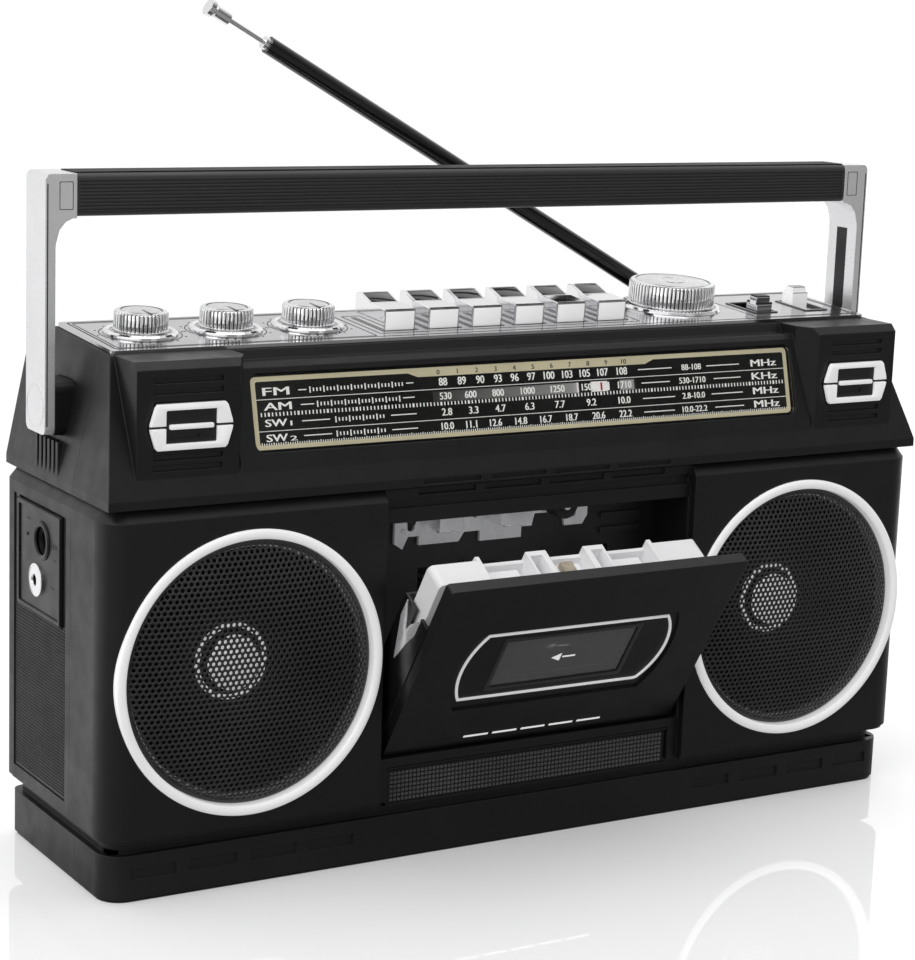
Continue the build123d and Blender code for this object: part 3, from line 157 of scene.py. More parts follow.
# ---------------------------------------------------------------- mesh building
class Mesh:
    """Collects shapes drawn on a plane; build() makes them one object."""

    def __init__(self, plane):
        self.plane = plane
        self.points = []
        self.faces = []
        self.materials = []

    def add(self, points, faces, material=0):
        start = len(self.points)
        self.points += [tuple(self.plane @ Vector(p)) for p in points]
        self.faces += [tuple(i + start for i in face) for face in faces]
        self.materials += [material] * len(faces)
        return self

    def skin(self, rings, material=0, caps=True, loop=False):
        """Skin over rings of equal point count; loop joins the last ring to the first."""
        size, count = len(rings[0]), len(rings)
        faces = []
        for k in range(count if loop else count - 1):
            a, b = k * size, ((k + 1) % count) * size
            for i in range(size):
                j = (i + 1) % size
                faces.append((a + i, a + j, b + j, b + i))
        if caps and not loop:
            faces.append(tuple(reversed(range(size))))
            faces.append(tuple(range((count - 1) * size, count * size)))
        return self.add([p for ring in rings for p in ring], faces, material)

    def prism(self, outline, low, high, bevel=0.0, material=0):
        levels = [(0.0, low), (0.0, high - bevel)]
        if bevel > 0:
            levels += [(bevel * 0.3, high - bevel * 0.3), (bevel, high)]
        return self.skin([[(x, y, height) for x, y in (offset(outline, inset) if inset else outline)]
                          for inset, height in levels], material)

    def box(self, x0, x1, y0, y1, low, high, bevel=0.0, material=0, corner=0.0):
        outline = rect(min(x0, x1), max(x0, x1), min(y0, y1), max(y0, y1), corner)
        return self.prism(outline, low, high, bevel, material)

    def stud(self, x, y, base, tip, low, high):
        """Square stud with a flat tip; base and tip are half widths."""
        return self.skin([[(px, py, height) for px, py in rect(x - half, x + half, y - half, y + half)]
                          for half, height in ((base, low), (tip, high))])

    def cylinder(self, x, y, low, high, radius, count=64, bevel=0.0):
        return self.prism(circle(x, y, radius, count), low, high, bevel)

    def lathe(self, x, y, profile, count=96, material=0, closed=True):
        """Turned body from (radius, height); an open profile is capped at both ends."""
        return self.skin([[(px, py, height) for px, py in circle(x, y, max(radius, 1e-5), count)]
                          for radius, height in profile], material, loop=closed)

    def frame(self, outer, inner, low, high, bevel=0.0):
        """Flat ring between two outlines of equal point count."""
        levels = [(outer, low), (outer, high - bevel)]
        if bevel:
            levels += [(offset(outer, bevel), high), (offset(inner, -bevel), high)]
        levels += [(inner, high - bevel), (inner, low)]
        return self.skin([[(x, y, height) for x, y in outline] for outline, height in levels],
                         loop=True)

    def border(self, x0, x1, y0, y1, width, corners, low, high, bevel=0.0):
        """Rectangular frame of even width; corners are the outer and inner radii."""
        return self.frame(rect(x0, x1, y0, y1, corners[0]),
                          rect(x0 + width, x1 - width, y0 + width, y1 - width, corners[1]),
                          low, high, bevel)

    def tube(self, path, radius, count):
        path = [Vector(p) for p in path]
        side_hint = Vector((0.3, 0.2, 0.9))
        rings = []
        for i, point in enumerate(path):
            along = (path[min(i + 1, len(path) - 1)] - path[max(i - 1, 0)]).normalized()
            side = along.cross(side_hint).normalized()
            up = side.cross(along).normalized()
            rings.append([tuple(point + radius * (math.cos(2 * math.pi * k / count) * side
                                                  + math.sin(2 * math.pi * k / count) * up))
                          for k in range(count)])
        return self.skin(rings)

    def text(self, body, height, y0, y1, bold, x0=None, x1=None, center=0.0, wide=1.0, thick=0.06):
        """Lettering y0..y1 tall, and x0..x1 wide or centred at its own proportions times wide."""
        curve = bpy.data.curves.new("lettering", "FONT")
        curve.body = body
        curve.resolution_u = 3
        ob = bpy.data.objects.new("lettering", curve)
        me = bpy.data.meshes.new_from_object(ob)
        bm = bmesh.new()
        bm.from_mesh(me)
        bmesh.ops.remove_doubles(bm, verts=bm.verts, dist=1e-5)
        low_x, low_y = (min(v.co[i] for v in bm.verts) for i in range(2))
        high_x, high_y = (max(v.co[i] for v in bm.verts) for i in range(2))
        scale_y = (y1 - y0) / (high_y - low_y)
        if x0 is None:
            width = (high_x - low_x) * scale_y * wide
            x0, x1 = center - width / 2, center + width / 2
        scale_x = (x1 - x0) / (high_x - low_x)
        extruded = bmesh.ops.extrude_face_region(bm, geom=bm.faces[:])
        top = {item for item in extruded["geom"] if isinstance(item, bmesh.types.BMVert)}
        bm.verts.index_update()
        faces = [tuple(v.index for v in face.verts) for face in bm.faces]
        # two copies side by side thicken the strokes; the lift keeps their tops apart
        for shift, lift in ((-bold * scale_y / 2, 0.0), (bold * scale_y / 2, 0.012)):
            self.add([(x0 + shift + (v.co.x - low_x) * scale_x, y0 + (v.co.y - low_y) * scale_y,
                       height + (thick + lift if v in top else 0.0)) for v in bm.verts], faces)
        bm.free()
        bpy.data.meshes.remove(me)
        bpy.data.objects.remove(ob)
        bpy.data.curves.remove(curve)
        return self

    def build(self, name, body, materials, slot, smooth=34, replaces=(), merge=True):
        """Makes the object on a body; smooth is the sharp-edge angle in degrees."""
        me = bpy.data.meshes.new(name)
        me.from_pydata(self.points, [], self.faces)
        for material in (materials if isinstance(materials, list) else [materials]):
            me.materials.append(material)
        me.polygons.foreach_set("material_index", self.materials)
        bm = bmesh.new()
        bm.from_mesh(me)
        if merge:
            bmesh.ops.remove_doubles(bm, verts=bm.verts, dist=2e-7)
            bmesh.ops.dissolve_degenerate(bm, dist=1e-7, edges=bm.edges)
        bmesh.ops.recalc_face_normals(bm, faces=bm.faces)
        bm.to_mesh(me)
        bm.free()
        me.polygons.foreach_set("use_smooth", [True] * len(me.polygons))
        me.set_sharp_from_angle(angle=math.radians(smooth))
        me.update()
        ob = bpy.data.objects.new(name, me)
        bpy.context.scene.collection.objects.link(ob)
        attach(ob, body)
        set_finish(ob, slot)
        if replaces:
            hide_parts(*replaces)
        return ob


# ---------------------------------------------------------------- node building
class Graph:
    """Node tree of a material or world; inputs take numbers, colours or sockets."""

    def __init__(self, owner, keep=False):
        owner.use_nodes = True
        self.tree = owner.node_tree
        if not keep:
            self.tree.nodes.clear()

    def feed(self, socket, value):
        if isinstance(value, bpy.types.NodeSocket):
            self.tree.links.new(value, socket)
        elif socket.type == "RGBA":
            socket.default_value = (*value, 1.0)
        else:
            socket.default_value = value

    def node(self, kind, inputs=None, **settings):
        new = self.tree.nodes.new("ShaderNode" + kind)
        for key, value in settings.items():
            setattr(new, key, value)
        for key, value in (inputs or {}).items():
            self.feed(new.inputs[key], value)
        return new

    def math(self, operation, first, second):
        return self.node("Math", {0: first, 1: second}, operation=operation).outputs[0]

    def remap(self, value, from_low, from_high, to_low, to_high, **settings):
        return self.node("MapRange", {0: value, 1: from_low, 2: from_high, 3: to_low, 4: to_high},
                         **settings).outputs[0]

    def mix(self, share, first, second):
        return self.node("Mix", {0: share, 6: first, 7: second}, data_type="RGBA").outputs[2]

    def mix_shader(self, share, first, second):
        return self.node("MixShader", {0: share, 1: first, 2: second}).outputs[0]

    def noise(self, vector, scale, detail=2.0, rough=0.5):
        return self.node("TexNoise", {"Scale": scale, "Detail": detail, "Roughness": rough,
                                      "Vector": vector}).outputs["Fac"]

    def split(self, vector):
        return self.node("SeparateXYZ", {0: vector}).outputs


def rgb(color):
    """A colour triple; a single number is a grey."""
    return color if isinstance(color, tuple) else (color,) * 3


def surface(name, rough, color=None, metal=0.0, vary=0.14, blotch=24.0, rough_vary=0.07,
            grain=0.0, grain_scale=2400.0, stretch=(1, 1, 1), wear_and_shading=0.0, wear_and_shading_color=0.25,
            wear_and_shading_rough=0.3, edge=0.3, coat=0.0, specular=0.5, dust=0.0, emit=0.0, x_fade=None):
    """Uneven solid finish.

    vary and rough_vary spread colour and roughness in blotches of noise scale blotch, grain is
    fine bump, stretch scales the noise per axis, wear lightens edges in patches, partly as scuffs
    and partly as a painted highlight along the edges, edge is the shaded edge radius in
    millimetres, dust settles on upward faces. x_fade replaces color with a fade:
    X in metres and colour at its start, then the same at its end.
    """
    material = bpy.data.materials.new(name)
    g = Graph(material)
    place = g.node("TexCoord").outputs["Object"]
    vector = g.node("Mapping", {0: place, "Scale": stretch}).outputs[0]

    if x_fade:
        x0, color0, x1, color1 = x_fade
        paint = g.mix(g.remap(g.split(place)[0], x0, x1, 0.0, 1.0), rgb(color0), rgb(color1))
    else:
        share = g.remap(g.noise(vector, blotch, 4.0), 0.3, 0.7, 0.0, 1.0)
        paint = g.mix(share, tuple(c * (1 - vary) for c in rgb(color)),
                      tuple(min(1.0, c * (1 + vary)) for c in rgb(color)))
    roughness = g.remap(g.noise(vector, blotch * 5.0, 3.0), 0.3, 0.7,
                        max(0.01, rough - rough_vary), rough + rough_vary)
    normal = None
    if edge > 0:
        normal = g.node("Bevel", {"Radius": edge * MM}, samples=4).outputs[0]
        if wear_and_shading > 0:
            # edges are recoloured where the rounded normal leaves the true one, in patches: scuffs
            # together with a painted edge highlight
            flat = g.node("NewGeometry").outputs["True Normal"]
            match = g.node("VectorMath", {0: normal, 1: flat}, operation="DOT_PRODUCT")
            at_edge = g.remap(match.outputs["Value"], 0.995, 0.86, 0.0, 1.0)
            patch = g.remap(g.noise(vector, blotch * 9.0, 5.0, 0.65), 0.38, 0.62, 0.15, 1.0)
            worn_and_shaded = g.math("MULTIPLY", g.math("MULTIPLY", at_edge, patch), wear_and_shading)
            paint = g.mix(worn_and_shaded, paint, rgb(wear_and_shading_color))
            roughness = g.node("Mix", {0: worn_and_shaded, 2: roughness, 3: wear_and_shading_rough}).outputs[0]
    if dust > 0:
        upward = g.remap(g.split(g.node("NewGeometry").outputs["Normal"])[2], 0.2, 1.0, 0.0, dust)
        specks = g.remap(g.noise(vector, blotch * 30), 0.45, 0.75, 0.2, 1.0)
        paint = g.mix(g.math("MULTIPLY", upward, specks), paint, (0.32, 0.31, 0.30))
    if grain > 0:
        bump = {"Strength": grain, "Distance": 0.00012,
                "Height": g.noise(vector, grain_scale, 2.0, 0.6)}
        if normal is not None:
            bump["Normal"] = normal
        normal = g.node("Bump", bump).outputs[0]

    inputs = {"Base Color": paint, "Roughness": roughness, "Metallic": metal,
              "Specular IOR Level": specular, "Coat Weight": coat, "Coat Roughness": 0.06}
    if normal is not None:
        inputs["Normal"] = normal
    # emit makes the colour glow by itself: painted light on every part that uses it, and an evenly
    # white floor on the floor
    if emit:
        inputs["Emission Color"] = paint
        inputs["Emission Strength"] = emit
    shader = g.node("BsdfPrincipled", inputs).outputs[0]
    g.node("OutputMaterial", {0: shader})
    return material


def clear_sheet(name, tint, gloss_rough, ior, haze=0.0, haze_color=(0.4, 0.4, 0.42)):
    """Thin clear or smoked sheet: light passes straight through, under a Fresnel reflection."""
    material = bpy.data.materials.new(name)
    g = Graph(material)
    cloud = g.noise(g.node("TexCoord").outputs["Object"], 60.0)
    gloss = g.node("BsdfGlossy", {"Roughness": g.remap(cloud, 0.35, 0.65, gloss_rough * 0.5,
                                                       gloss_rough * 1.6)}).outputs[0]
    through = g.node("BsdfTransparent", {0: g.mix(cloud, tuple(c * 0.94 for c in tint), tint)})
    hazy = g.node("BsdfDiffuse", {0: haze_color}).outputs[0]
    body = g.mix_shader(haze, through.outputs[0], hazy)
    fresnel = g.node("Fresnel", {0: ior}).outputs[0]
    g.node("OutputMaterial", {0: g.mix_shader(fresnel, body, gloss)})
    return material


# ---------------------------------------------------------------- materials
# black mouldings
# the black mouldings and the door lighten their edges in patches: scuffs together with a painted edge
# highlight
SHELL = surface("shell_black", color=(0.0085, 0.0085, 0.009), rough=0.40, specular=0.36, grain=0.22,
                grain_scale=2600, wear_and_shading=0.35, wear_and_shading_color=(0.045, 0.045, 0.046), edge=0.6, dust=0.02)
SHELL_FINE = surface("shell_black_smooth", color=(0.0075, 0.0075, 0.008), rough=0.33,
                     specular=0.36, grain=0.10, grain_scale=3000, wear_and_shading=0.3, wear_and_shading_color=0.045,
                     edge=0.4)
DOOR_MAT = surface("door_black", color=(0.0075, 0.0075, 0.008), rough=0.36, specular=0.36,
                   grain=0.12, grain_scale=2800, wear_and_shading=0.4, wear_and_shading_color=0.06, edge=0.4)
GLOSS = surface("black_gloss", color=0.012, rough=0.12, vary=0.2, rough_vary=0.03, grain=0.03,
                edge=0.25, coat=0.4)
# bright metal, white trim, grilles and cones
CHROME = surface("chrome_bright", color=(0.86, 0.86, 0.87), rough=0.075, metal=1.0, vary=0.03,
                 rough_vary=0.035, grain=0.02, grain_scale=900, edge=0.25)
# painted glow: the satin chrome glows by itself to look brighter than the lamps make it
CHROME_SOFT = surface("chrome_satin", color=(0.72, 0.72, 0.73), rough=0.27, metal=0.75, emit=0.14,
                      vary=0.05, rough_vary=0.05, grain=0.05, grain_scale=1400, edge=0.5)
STRIP = surface("strip_black", color=0.010, rough=0.5, vary=0.15, rough_vary=0.06, grain=0.06,
                stretch=(0.1, 1, 1), edge=0.2, specular=0.12)
PLATE = surface("plate_brushed", color=(0.52, 0.52, 0.53), rough=0.15, metal=1.0, vary=0.10,
                blotch=30, rough_vary=0.05, grain=0.10, grain_scale=900,
                stretch=(0.04, 1.6, 1.6), edge=0.2)
# painted glow: the white trim glows by itself to look brighter than the lamps make it; its edges grey
# in patches
WHITE = surface("trim_white", color=0.90, rough=0.22, vary=0.03, rough_vary=0.05, grain=0.03,
                edge=0.25, coat=0.6, wear_and_shading=0.25, emit=0.34, wear_and_shading_color=0.62)
GRILLE = surface("grille_black", color=(0.038, 0.038, 0.039), rough=0.32, metal=0.4, vary=0.25,
                 rough_vary=0.08, grain=0.10, edge=0, blotch=40)
# painted glow: the silver caps glow by themselves to look brighter than the lamps make them
SILVER = surface("cap_silver", color=(0.85, 0.85, 0.86), rough=0.25, metal=0.6, vary=0.05,
                 grain=0.05, edge=0, emit=0.45)
CONE = surface("cone_paper", color=0.010, rough=0.75, vary=0.35, blotch=120, grain=0.5,
               grain_scale=1500, edge=0, specular=0.3)
# dial and print
DIAL_BLACK = surface("dial_black", color=0.006, rough=0.3, vary=0.2, grain=0.03, edge=0)
# painted glow: the white print glows by itself to look brighter than the lamps make it
PRINT = surface("print_white", color=(0.92, 0.92, 0.90), rough=0.45, vary=0.05, blotch=90,
                rough_vary=0.1, grain=0.05, edge=0, emit=0.5)
PRINT_GREY = surface("print_grey", color=0.45, rough=0.5, vary=0.1, blotch=90, grain=0.05, edge=0)
# painted glow: the cream print glows by itself to look brighter than the lamps make it
CREAM = surface("print_cream", color=(0.86, 0.79, 0.56), rough=0.40, vary=0.06, blotch=50,
                rough_vary=0.1, grain=0.05, edge=0, emit=0.25)
INK = surface("print_ink", color=(0.05, 0.045, 0.03), rough=0.5, vary=0.2, blotch=90, grain=0.05,
              edge=0)
# painted glow and painted light: the diffuser glows by itself with no lamp behind it, fading from dark
# at the left to bright at the right
DIFFUSER = surface("dial_diffuser", rough=0.5, grain=0.05, edge=0, emit=0.55,
                   x_fade=(-0.040, 0.02, 0.040, 0.42))
# painted glow: the white pointer glows by itself to look brighter than the lamps make it
POINTER = surface("pointer_white", color=(0.92, 0.90, 0.90), rough=0.35, vary=0.03, grain=0.03,
                  edge=0.1, emit=0.55)
# painted glow: the red pointer line glows by itself to look brighter than the lamps make it
RED = surface("pointer_red", color=(0.55, 0.04, 0.04), rough=0.4, vary=0.1, blotch=100, grain=0.03,
              edge=0, emit=0.25)
# tape mechanism
# painted glow: the steel glows by itself to look brighter than the lamps make it
STEEL = surface("steel_pressed", color=(0.62, 0.62, 0.64), rough=0.26, metal=0.8, emit=0.10,
                vary=0.15, rough_vary=0.1, grain=0.10, grain_scale=1100, stretch=(1, 1, 0.1),
                edge=0.2)
ZINC = surface("zinc_plated", color=(0.55, 0.56, 0.58), rough=0.30, metal=1.0, vary=0.18,
               blotch=60, rough_vary=0.1, grain=0.06, edge=0.2)
# its edges lighten in patches: scuffs together with a painted edge highlight
DECK = surface("deck_black", color=(0.012, 0.012, 0.013), rough=0.38, vary=0.25, grain=0.15,
               wear_and_shading=0.5, wear_and_shading_color=(0.14, 0.14, 0.15))
RUBBER = surface("rubber_black", color=0.020, rough=0.72, vary=0.2, grain=0.35, grain_scale=1800,
                 edge=0.2, dust=0.05)
# cassette
# painted glow: the cassette shell glows by itself to look brighter than the lamps make it; its edges
# lighten in patches, scuffs together with a painted edge highlight
TAPE_GREY = surface("cassette_grey", color=(0.78, 0.78, 0.79), rough=0.36, emit=0.14, vary=0.05,
                    blotch=35, grain=0.10, grain_scale=2500, wear_and_shading=0.3, wear_and_shading_color=0.85)
HUB = surface("hub_white", color=(0.72, 0.72, 0.71), rough=0.4, vary=0.06, grain=0.06, edge=0.2)
TAPE = surface("tape_brown", color=(0.045, 0.028, 0.020), rough=0.28, vary=0.25, blotch=200,
               grain=0.2, grain_scale=4000, edge=0)
# painted glow: the label glows by itself so that it reads light behind the smoked window
LABEL = surface("label_grey", color=(0.46, 0.46, 0.47), rough=0.5, vary=0.10, blotch=30,
                grain=0.05, edge=0, emit=0.80)
FELT = surface("felt_pad", color=(0.42, 0.36, 0.28), rough=0.85, vary=0.25, blotch=300, grain=0.6,
               grain_scale=2500, edge=0)
# electrical parts and aerial
BRASS = surface("brass", color=(0.72, 0.52, 0.22), rough=0.28, metal=1.0, vary=0.15, blotch=60,
                grain=0.08, edge=0.2)
BOARD = surface("board_green", color=(0.02, 0.09, 0.035), rough=0.35, vary=0.3, blotch=180,
                grain=0.15, edge=0, coat=0.3)
FERRITE = surface("ferrite", color=(0.06, 0.055, 0.055), rough=0.55, vary=0.3, blotch=200,
                  grain=0.3, edge=0)
AERIAL = surface("aerial_black", color=0.009, rough=0.18, vary=0.15, rough_vary=0.05, grain=0.04,
                 stretch=(0.1, 1, 1), edge=0.1, coat=0.5, metal=0.3)
# handle, engraved lines, windows, holder, studs and knob tops
# its edges lighten in patches: scuffs together with a painted edge highlight
GRIP = surface("grip_black", color=0.032, rough=0.40, vary=0.2, blotch=50, rough_vary=0.08,
               grain=0.12, grain_scale=1500, stretch=(0.08, 1, 1), wear_and_shading=0.3, wear_and_shading_color=0.10)
ENGRAVE = surface("engraved_dark", color=0.006, rough=0.5, vary=0.2, grain=0.05, edge=0)
CLEAR = clear_sheet("window_clear", tint=(0.97, 0.97, 0.96), gloss_rough=0.03, ior=1.25)
SMOKE = clear_sheet("window_smoked", tint=(0.80, 0.80, 0.81), gloss_rough=0.05, ior=1.46,
                    haze=0.26, haze_color=(0.55, 0.55, 0.56))
# its edges lighten in patches: scuffs together with a painted edge highlight
HOLDER = surface("holder_black", color=(0.008, 0.008, 0.009), rough=0.22, vary=0.2, grain=0.06,
                 wear_and_shading=0.4, wear_and_shading_color=0.12)
STUD = surface("stud_grey", color=(0.11, 0.11, 0.112), rough=0.30, vary=0.15, grain=0.1, edge=0)
KNOB_TOP = surface("knob_top", color=(0.74, 0.74, 0.75), rough=0.22, metal=1.0, vary=0.12,
                   blotch=500, rough_vary=0.06, grain=0.08, grain_scale=1200, edge=0)

# ---------------------------------------------------------------- CAD pieces: finishes and edges
SLOT_FINISH = {
    "black_shell": SHELL, "black_gloss": GLOSS, "chrome": CHROME, "plate_metal": PLATE,
    "white_trim": WHITE, "grille_metal": GRILLE, "dial_print": DIAL_BLACK,
    "clear_plastic": CLEAR, "smoked_plastic": SMOKE, "deck_metal": DECK, "steel": STEEL,
    "zinc": ZINC, "rubber_black": RUBBER, "cone_paper": CONE, "cassette_grey": TAPE_GREY,
    "hub_white": HUB, "pointer_white": POINTER, "board_green": BOARD, "ferrite": FERRITE,
    "aerial_black": AERIAL, "brass": BRASS}
PIECE_FINISH = {
    "handle_grip": GRIP, "handle_brackets": CHROME_SOFT, "cassette_door": DOOR_MAT,
    "cassette_holder": HOLDER, "grip_bar": SHELL_FINE, "jack_panel": SHELL_FINE,
    "handle_strip": STRIP, "head_plate": STEEL, "dc_jack": GLOSS, "battery_door": SHELL}
for name, node in NODES.items():
    node.data.materials.clear()
    node.data.materials.append(PIECE_FINISH.get(name) or SLOT_FINISH[SLOT_OF[name]])
    node["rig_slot"] = SLOT_OF[name]

KEYS = ("key_record", "key_play", "key_rewind", "key_fast_forward", "key_stop_eject", "key_pause")
EDGE_WIDTHS = {**dict.fromkeys(KEYS, 0.3), "handle_brackets": 0.7, "battery_door": 0.3,
               "function_slider": 0.25, "band_slider": 0.25, "cassette_holder": 0.15}
for name, width in EDGE_WIDTHS.items():
    weld = NODES[name].modifiers.new("weld", "WELD")
    weld.merge_threshold = 1e-6
    edge = NODES[name].modifiers.new("edge", "BEVEL")
    edge.width = width * MM
    edge.segments = 3
    edge.limit_method = "ANGLE"
    edge.angle_limit = math.radians(38)
    edge.harden_normals = False
    edge.use_clamp_overlap = True

# ---------------------------------------------------------------- loudspeakers
SPEAKER_X, SPEAKER_Z = 104.2, 68.6
HOLE_PITCH, HOLE_RADIUS = 1.9, 0.63
GRILLE_RADIUS = 40.3
# radius, height of the domed grille
GRILLE_DOME = ((0, 2.6), (12, 2.45), (22, 1.95), (30, 1.15), (35, 0.35), (38, -0.35),
               (39.8, -1.1), (41.6, -2.3))
# radius, height
RIM_PROFILE = [(39.7, -1.55), (40.4, -1.5), (41.0, -1.75), (41.62, -2.4), (41.62, -3.3),
               (41.0, -3.3), (40.9, -2.5), (39.9, -2.0)]
CAP_PROFILE = [(8.8, -13.6), (8.7, -12.6), (8.0, -11.9), (6.4, -11.2), (4.2, -10.6), (2.0, -10.3),
               (0.0, -10.2)]
TRIM_RADIUS, TRIM_HALF = 43.3, 1.58


def dome_height(radius):
    for (r0, h0), (r1, h1) in zip(GRILLE_DOME, GRILLE_DOME[1:]):
        if radius <= r1:
            return h0 + (h1 - h0) * ((radius - r0) / (r1 - r0))


def perforated_sheet(center_x):
    """Hexagonal cells, each with a round hole, that share their outer corners."""
    points, shared, faces = [], {}, []

    def add_point(x, y):
        points.append((center_x + x, SPEAKER_Z + y, dome_height(math.hypot(x, y))))
        return len(points) - 1

    span = int(GRILLE_RADIUS / HOLE_PITCH) + 2
    for row in range(-span - 4, span + 5):
        for column in range(-span, span + 1):
            x = column * HOLE_PITCH + (row % 2) * HOLE_PITCH / 2
            y = row * HOLE_PITCH * math.sqrt(3) / 2
            if math.hypot(x, y) > GRILLE_RADIUS - 0.2:
                continue
            cell, hole = [], []
            for k in range(12):
                angle = math.radians(30 * k)
                reach = HOLE_PITCH / math.sqrt(3) if k % 2 else HOLE_PITCH / 2
                px, py = x + reach * math.cos(angle), y + reach * math.sin(angle)
                key = (round(px, 3), round(py, 3))
                if key not in shared:
                    shared[key] = add_point(px, py)
                cell.append(shared[key])
                hole.append(add_point(x + HOLE_RADIUS * math.cos(angle),
                                      y + HOLE_RADIUS * math.sin(angle)))
            for k in range(12):
                after = (k + 1) % 12
                faces.append((cell[k], cell[after], hole[after], hole[k]))
    return Mesh(FRONT).add(points, faces)


for sign, side in SIDES:
    at = (sign * SPEAKER_X, SPEAKER_Z)
    grille = perforated_sheet(at[0]).build(
        "grille_mesh_" + side, "cabinet", GRILLE, "grille_metal", smooth=60, merge=False,
        replaces=("speaker_grilles",) if sign < 0 else ())
    sheet = grille.modifiers.new("sheet", "SOLIDIFY")
    sheet.thickness = 0.45 * MM
    sheet.offset = -1.0
    # rolled rim that the sheet runs into
    Mesh(FRONT).lathe(*at, RIM_PROFILE, count=144).build(
        "grille_rim_" + side, "cabinet", GRILLE, "grille_metal")
    inner, outer = TRIM_RADIUS - TRIM_HALF, TRIM_RADIUS + TRIM_HALF
    profile = ([(inner, -3.3), (inner, 0.2)]
               + oval(TRIM_RADIUS, 0.2, TRIM_HALF, 0.95, range(165, 10, -15))
               + [(outer, 0.2), (outer, -3.3)])
    Mesh(FRONT).lathe(*at, profile, count=192).build(
        "trim_ring_" + side, "cabinet", WHITE, "white_trim", smooth=50,
        replaces=("speaker_rings",) if sign < 0 else ())
    cap = Mesh(FRONT)
    cap.lathe(*at, CAP_PROFILE, count=72, closed=False)
    cap.lathe(*at, oval(11.5, -15.4, 0.8, 0.8, range(0, 360, 30)))
    cap.build("dust_cap_" + side, "cabinet", SILVER, "chrome")
    # half-round surround, and ribs that follow the slope of the cone
    surround = Mesh(FRONT)
    surround.lathe(*at, oval(36.3, -4.4, 2.0, 1.4, range(0, 181, 15))
                   + [(34.3, -4.6), (38.3, -4.6)], count=128)
    for k in range(5):
        radius = 17.0 + 3.6 * k
        cone_depth = 16.8 - (radius - 12.6) * (12.0 / 22.4)
        surround.lathe(*at, oval(radius, 0.02 - cone_depth, 0.35, 0.35, range(0, 360, 60)))
    surround.build("cone_surround_" + side, "cabinet", CONE, "cone_paper")

# ---------------------------------------------------------------- studded bar under the door
BAR_X, BAR_WIDTH, BAR_COLUMNS = -52.9, 105.8, 74
BAR_Z, BAR_TALL, BAR_ROWS = 18.95, 10.2, 7
studs = Mesh(FRONT)
for i in range(BAR_COLUMNS):
    for j in range(BAR_ROWS):
        studs.stud(BAR_X + (i + 0.5) * (BAR_WIDTH / BAR_COLUMNS),
                   BAR_Z + (j + 0.5) * (BAR_TALL / BAR_ROWS),
                   base=0.56, tip=0.16, low=-4.25, high=-3.62)
studs.build("grip_bar_studs", "cabinet", STUD, "black_shell", smooth=20, merge=False)

# ---------------------------------------------------------------- side panels
# depth from, depth to, z from, z to; the left panel leaves its upper middle open
PANEL_BOXES = {
    "left": ((31.2, 73.2, 25.2, 78.7), (31.2, 33.3, 78.7, 114.2), (69.8, 73.2, 78.7, 114.2)),
    "right": ((31.2, 73.2, 25.2, 114.2),)}
STUDS_DEPTH, STUDS_DEEP, STUD_COLUMNS = 31.9, 40.6, 40
STUDS_Z, STUDS_TALL, STUD_ROWS = 26.0, 87.4, 85
OPENING_Z, OPENING_DEPTHS = 78.3, (33.0, 70.1)
for plane, (sign, side) in zip((LEFT, RIGHT), SIDES):
    panel = Mesh(plane)
    for d0, d1, z0, z1 in PANEL_BOXES[side]:
        panel.box(sign * d0, sign * d1, z0, z1, -1.08, -0.42)
    for i in range(STUD_COLUMNS):
        for j in range(STUD_ROWS):
            depth = STUDS_DEPTH + (i + 0.5) * (STUDS_DEEP / STUD_COLUMNS)
            z = STUDS_Z + (j + 0.5) * (STUDS_TALL / STUD_ROWS)
            beside = sign < 0 and z > OPENING_Z
            if beside and OPENING_DEPTHS[0] < depth < OPENING_DEPTHS[1]:
                continue
            panel.stud(sign * depth, z, 0.3 if beside else 0.40, 0.12, -0.44, -0.06)
    panel.build("side_panel_" + side, "cabinet", SHELL_FINE, "black_shell", smooth=20,
                merge=False, replaces=("side_panels",) if sign < 0 else ())

# socket panel on the left side: raised border, small plain marks, collar
border = Mesh(LEFT)
border.border(-69.0, -34.1, 79.6, 113.5, 1.4, (0.6, 0.5), 0.15, 0.75, bevel=0.2)
border.lathe(-49.4, 103.5, [(4.4, 0.15), (4.4, 0.6), (4.9, 0.95), (5.7, 0.95), (6.2, 0.5),
                            (6.2, 0.15)], count=64)
border.build("jack_panel_border", "cabinet", SHELL_FINE, "black_shell")
MARK_LOW, MARK_HIGH = 0.2, 0.28
marks = Mesh(LEFT)
for x, z in ((-62.2, 108.2), (-41.0, 99.0), (-42.6, 90.1)):
    marks.box(x, x + 2.8, z, z + 0.4, MARK_LOW, MARK_HIGH)
marks.cylinder(-61.5, 103.3, 0.15, 0.5, 0.6, count=24, bevel=0.15)
for x in (-42.4, -39.6, -36.8):
    marks.frame(circle(x, 103.6, 0.95, 24), circle(x, 103.6, 0.7, 24), MARK_LOW, MARK_HIGH)
for x in (-41.0, -38.2):
    marks.box(x - 0.5, x + 0.5, 103.5, 103.7, MARK_LOW, MARK_HIGH)
marks.build("jack_panel_marks", "cabinet", ENGRAVE, "black_gloss")
COLLAR_PROFILE = [(1.85, -3.0), (1.85, 1.2), (2.2, 1.55), (3.4, 1.6), (4.4, 1.35), (5.0, 0.8),
                  (5.0, -0.1), (3.5, -0.1), (3.5, -3.0)]
Mesh(LEFT).lathe(-53.0, 90.4, COLLAR_PROFILE, count=72).build(
    "phone_jack_collar", "cabinet", CHROME, "chrome")

# ---------------------------------------------------------------- emblems at the front's ends
EMBLEM_X, EMBLEM_Z = 125.2, 146.0
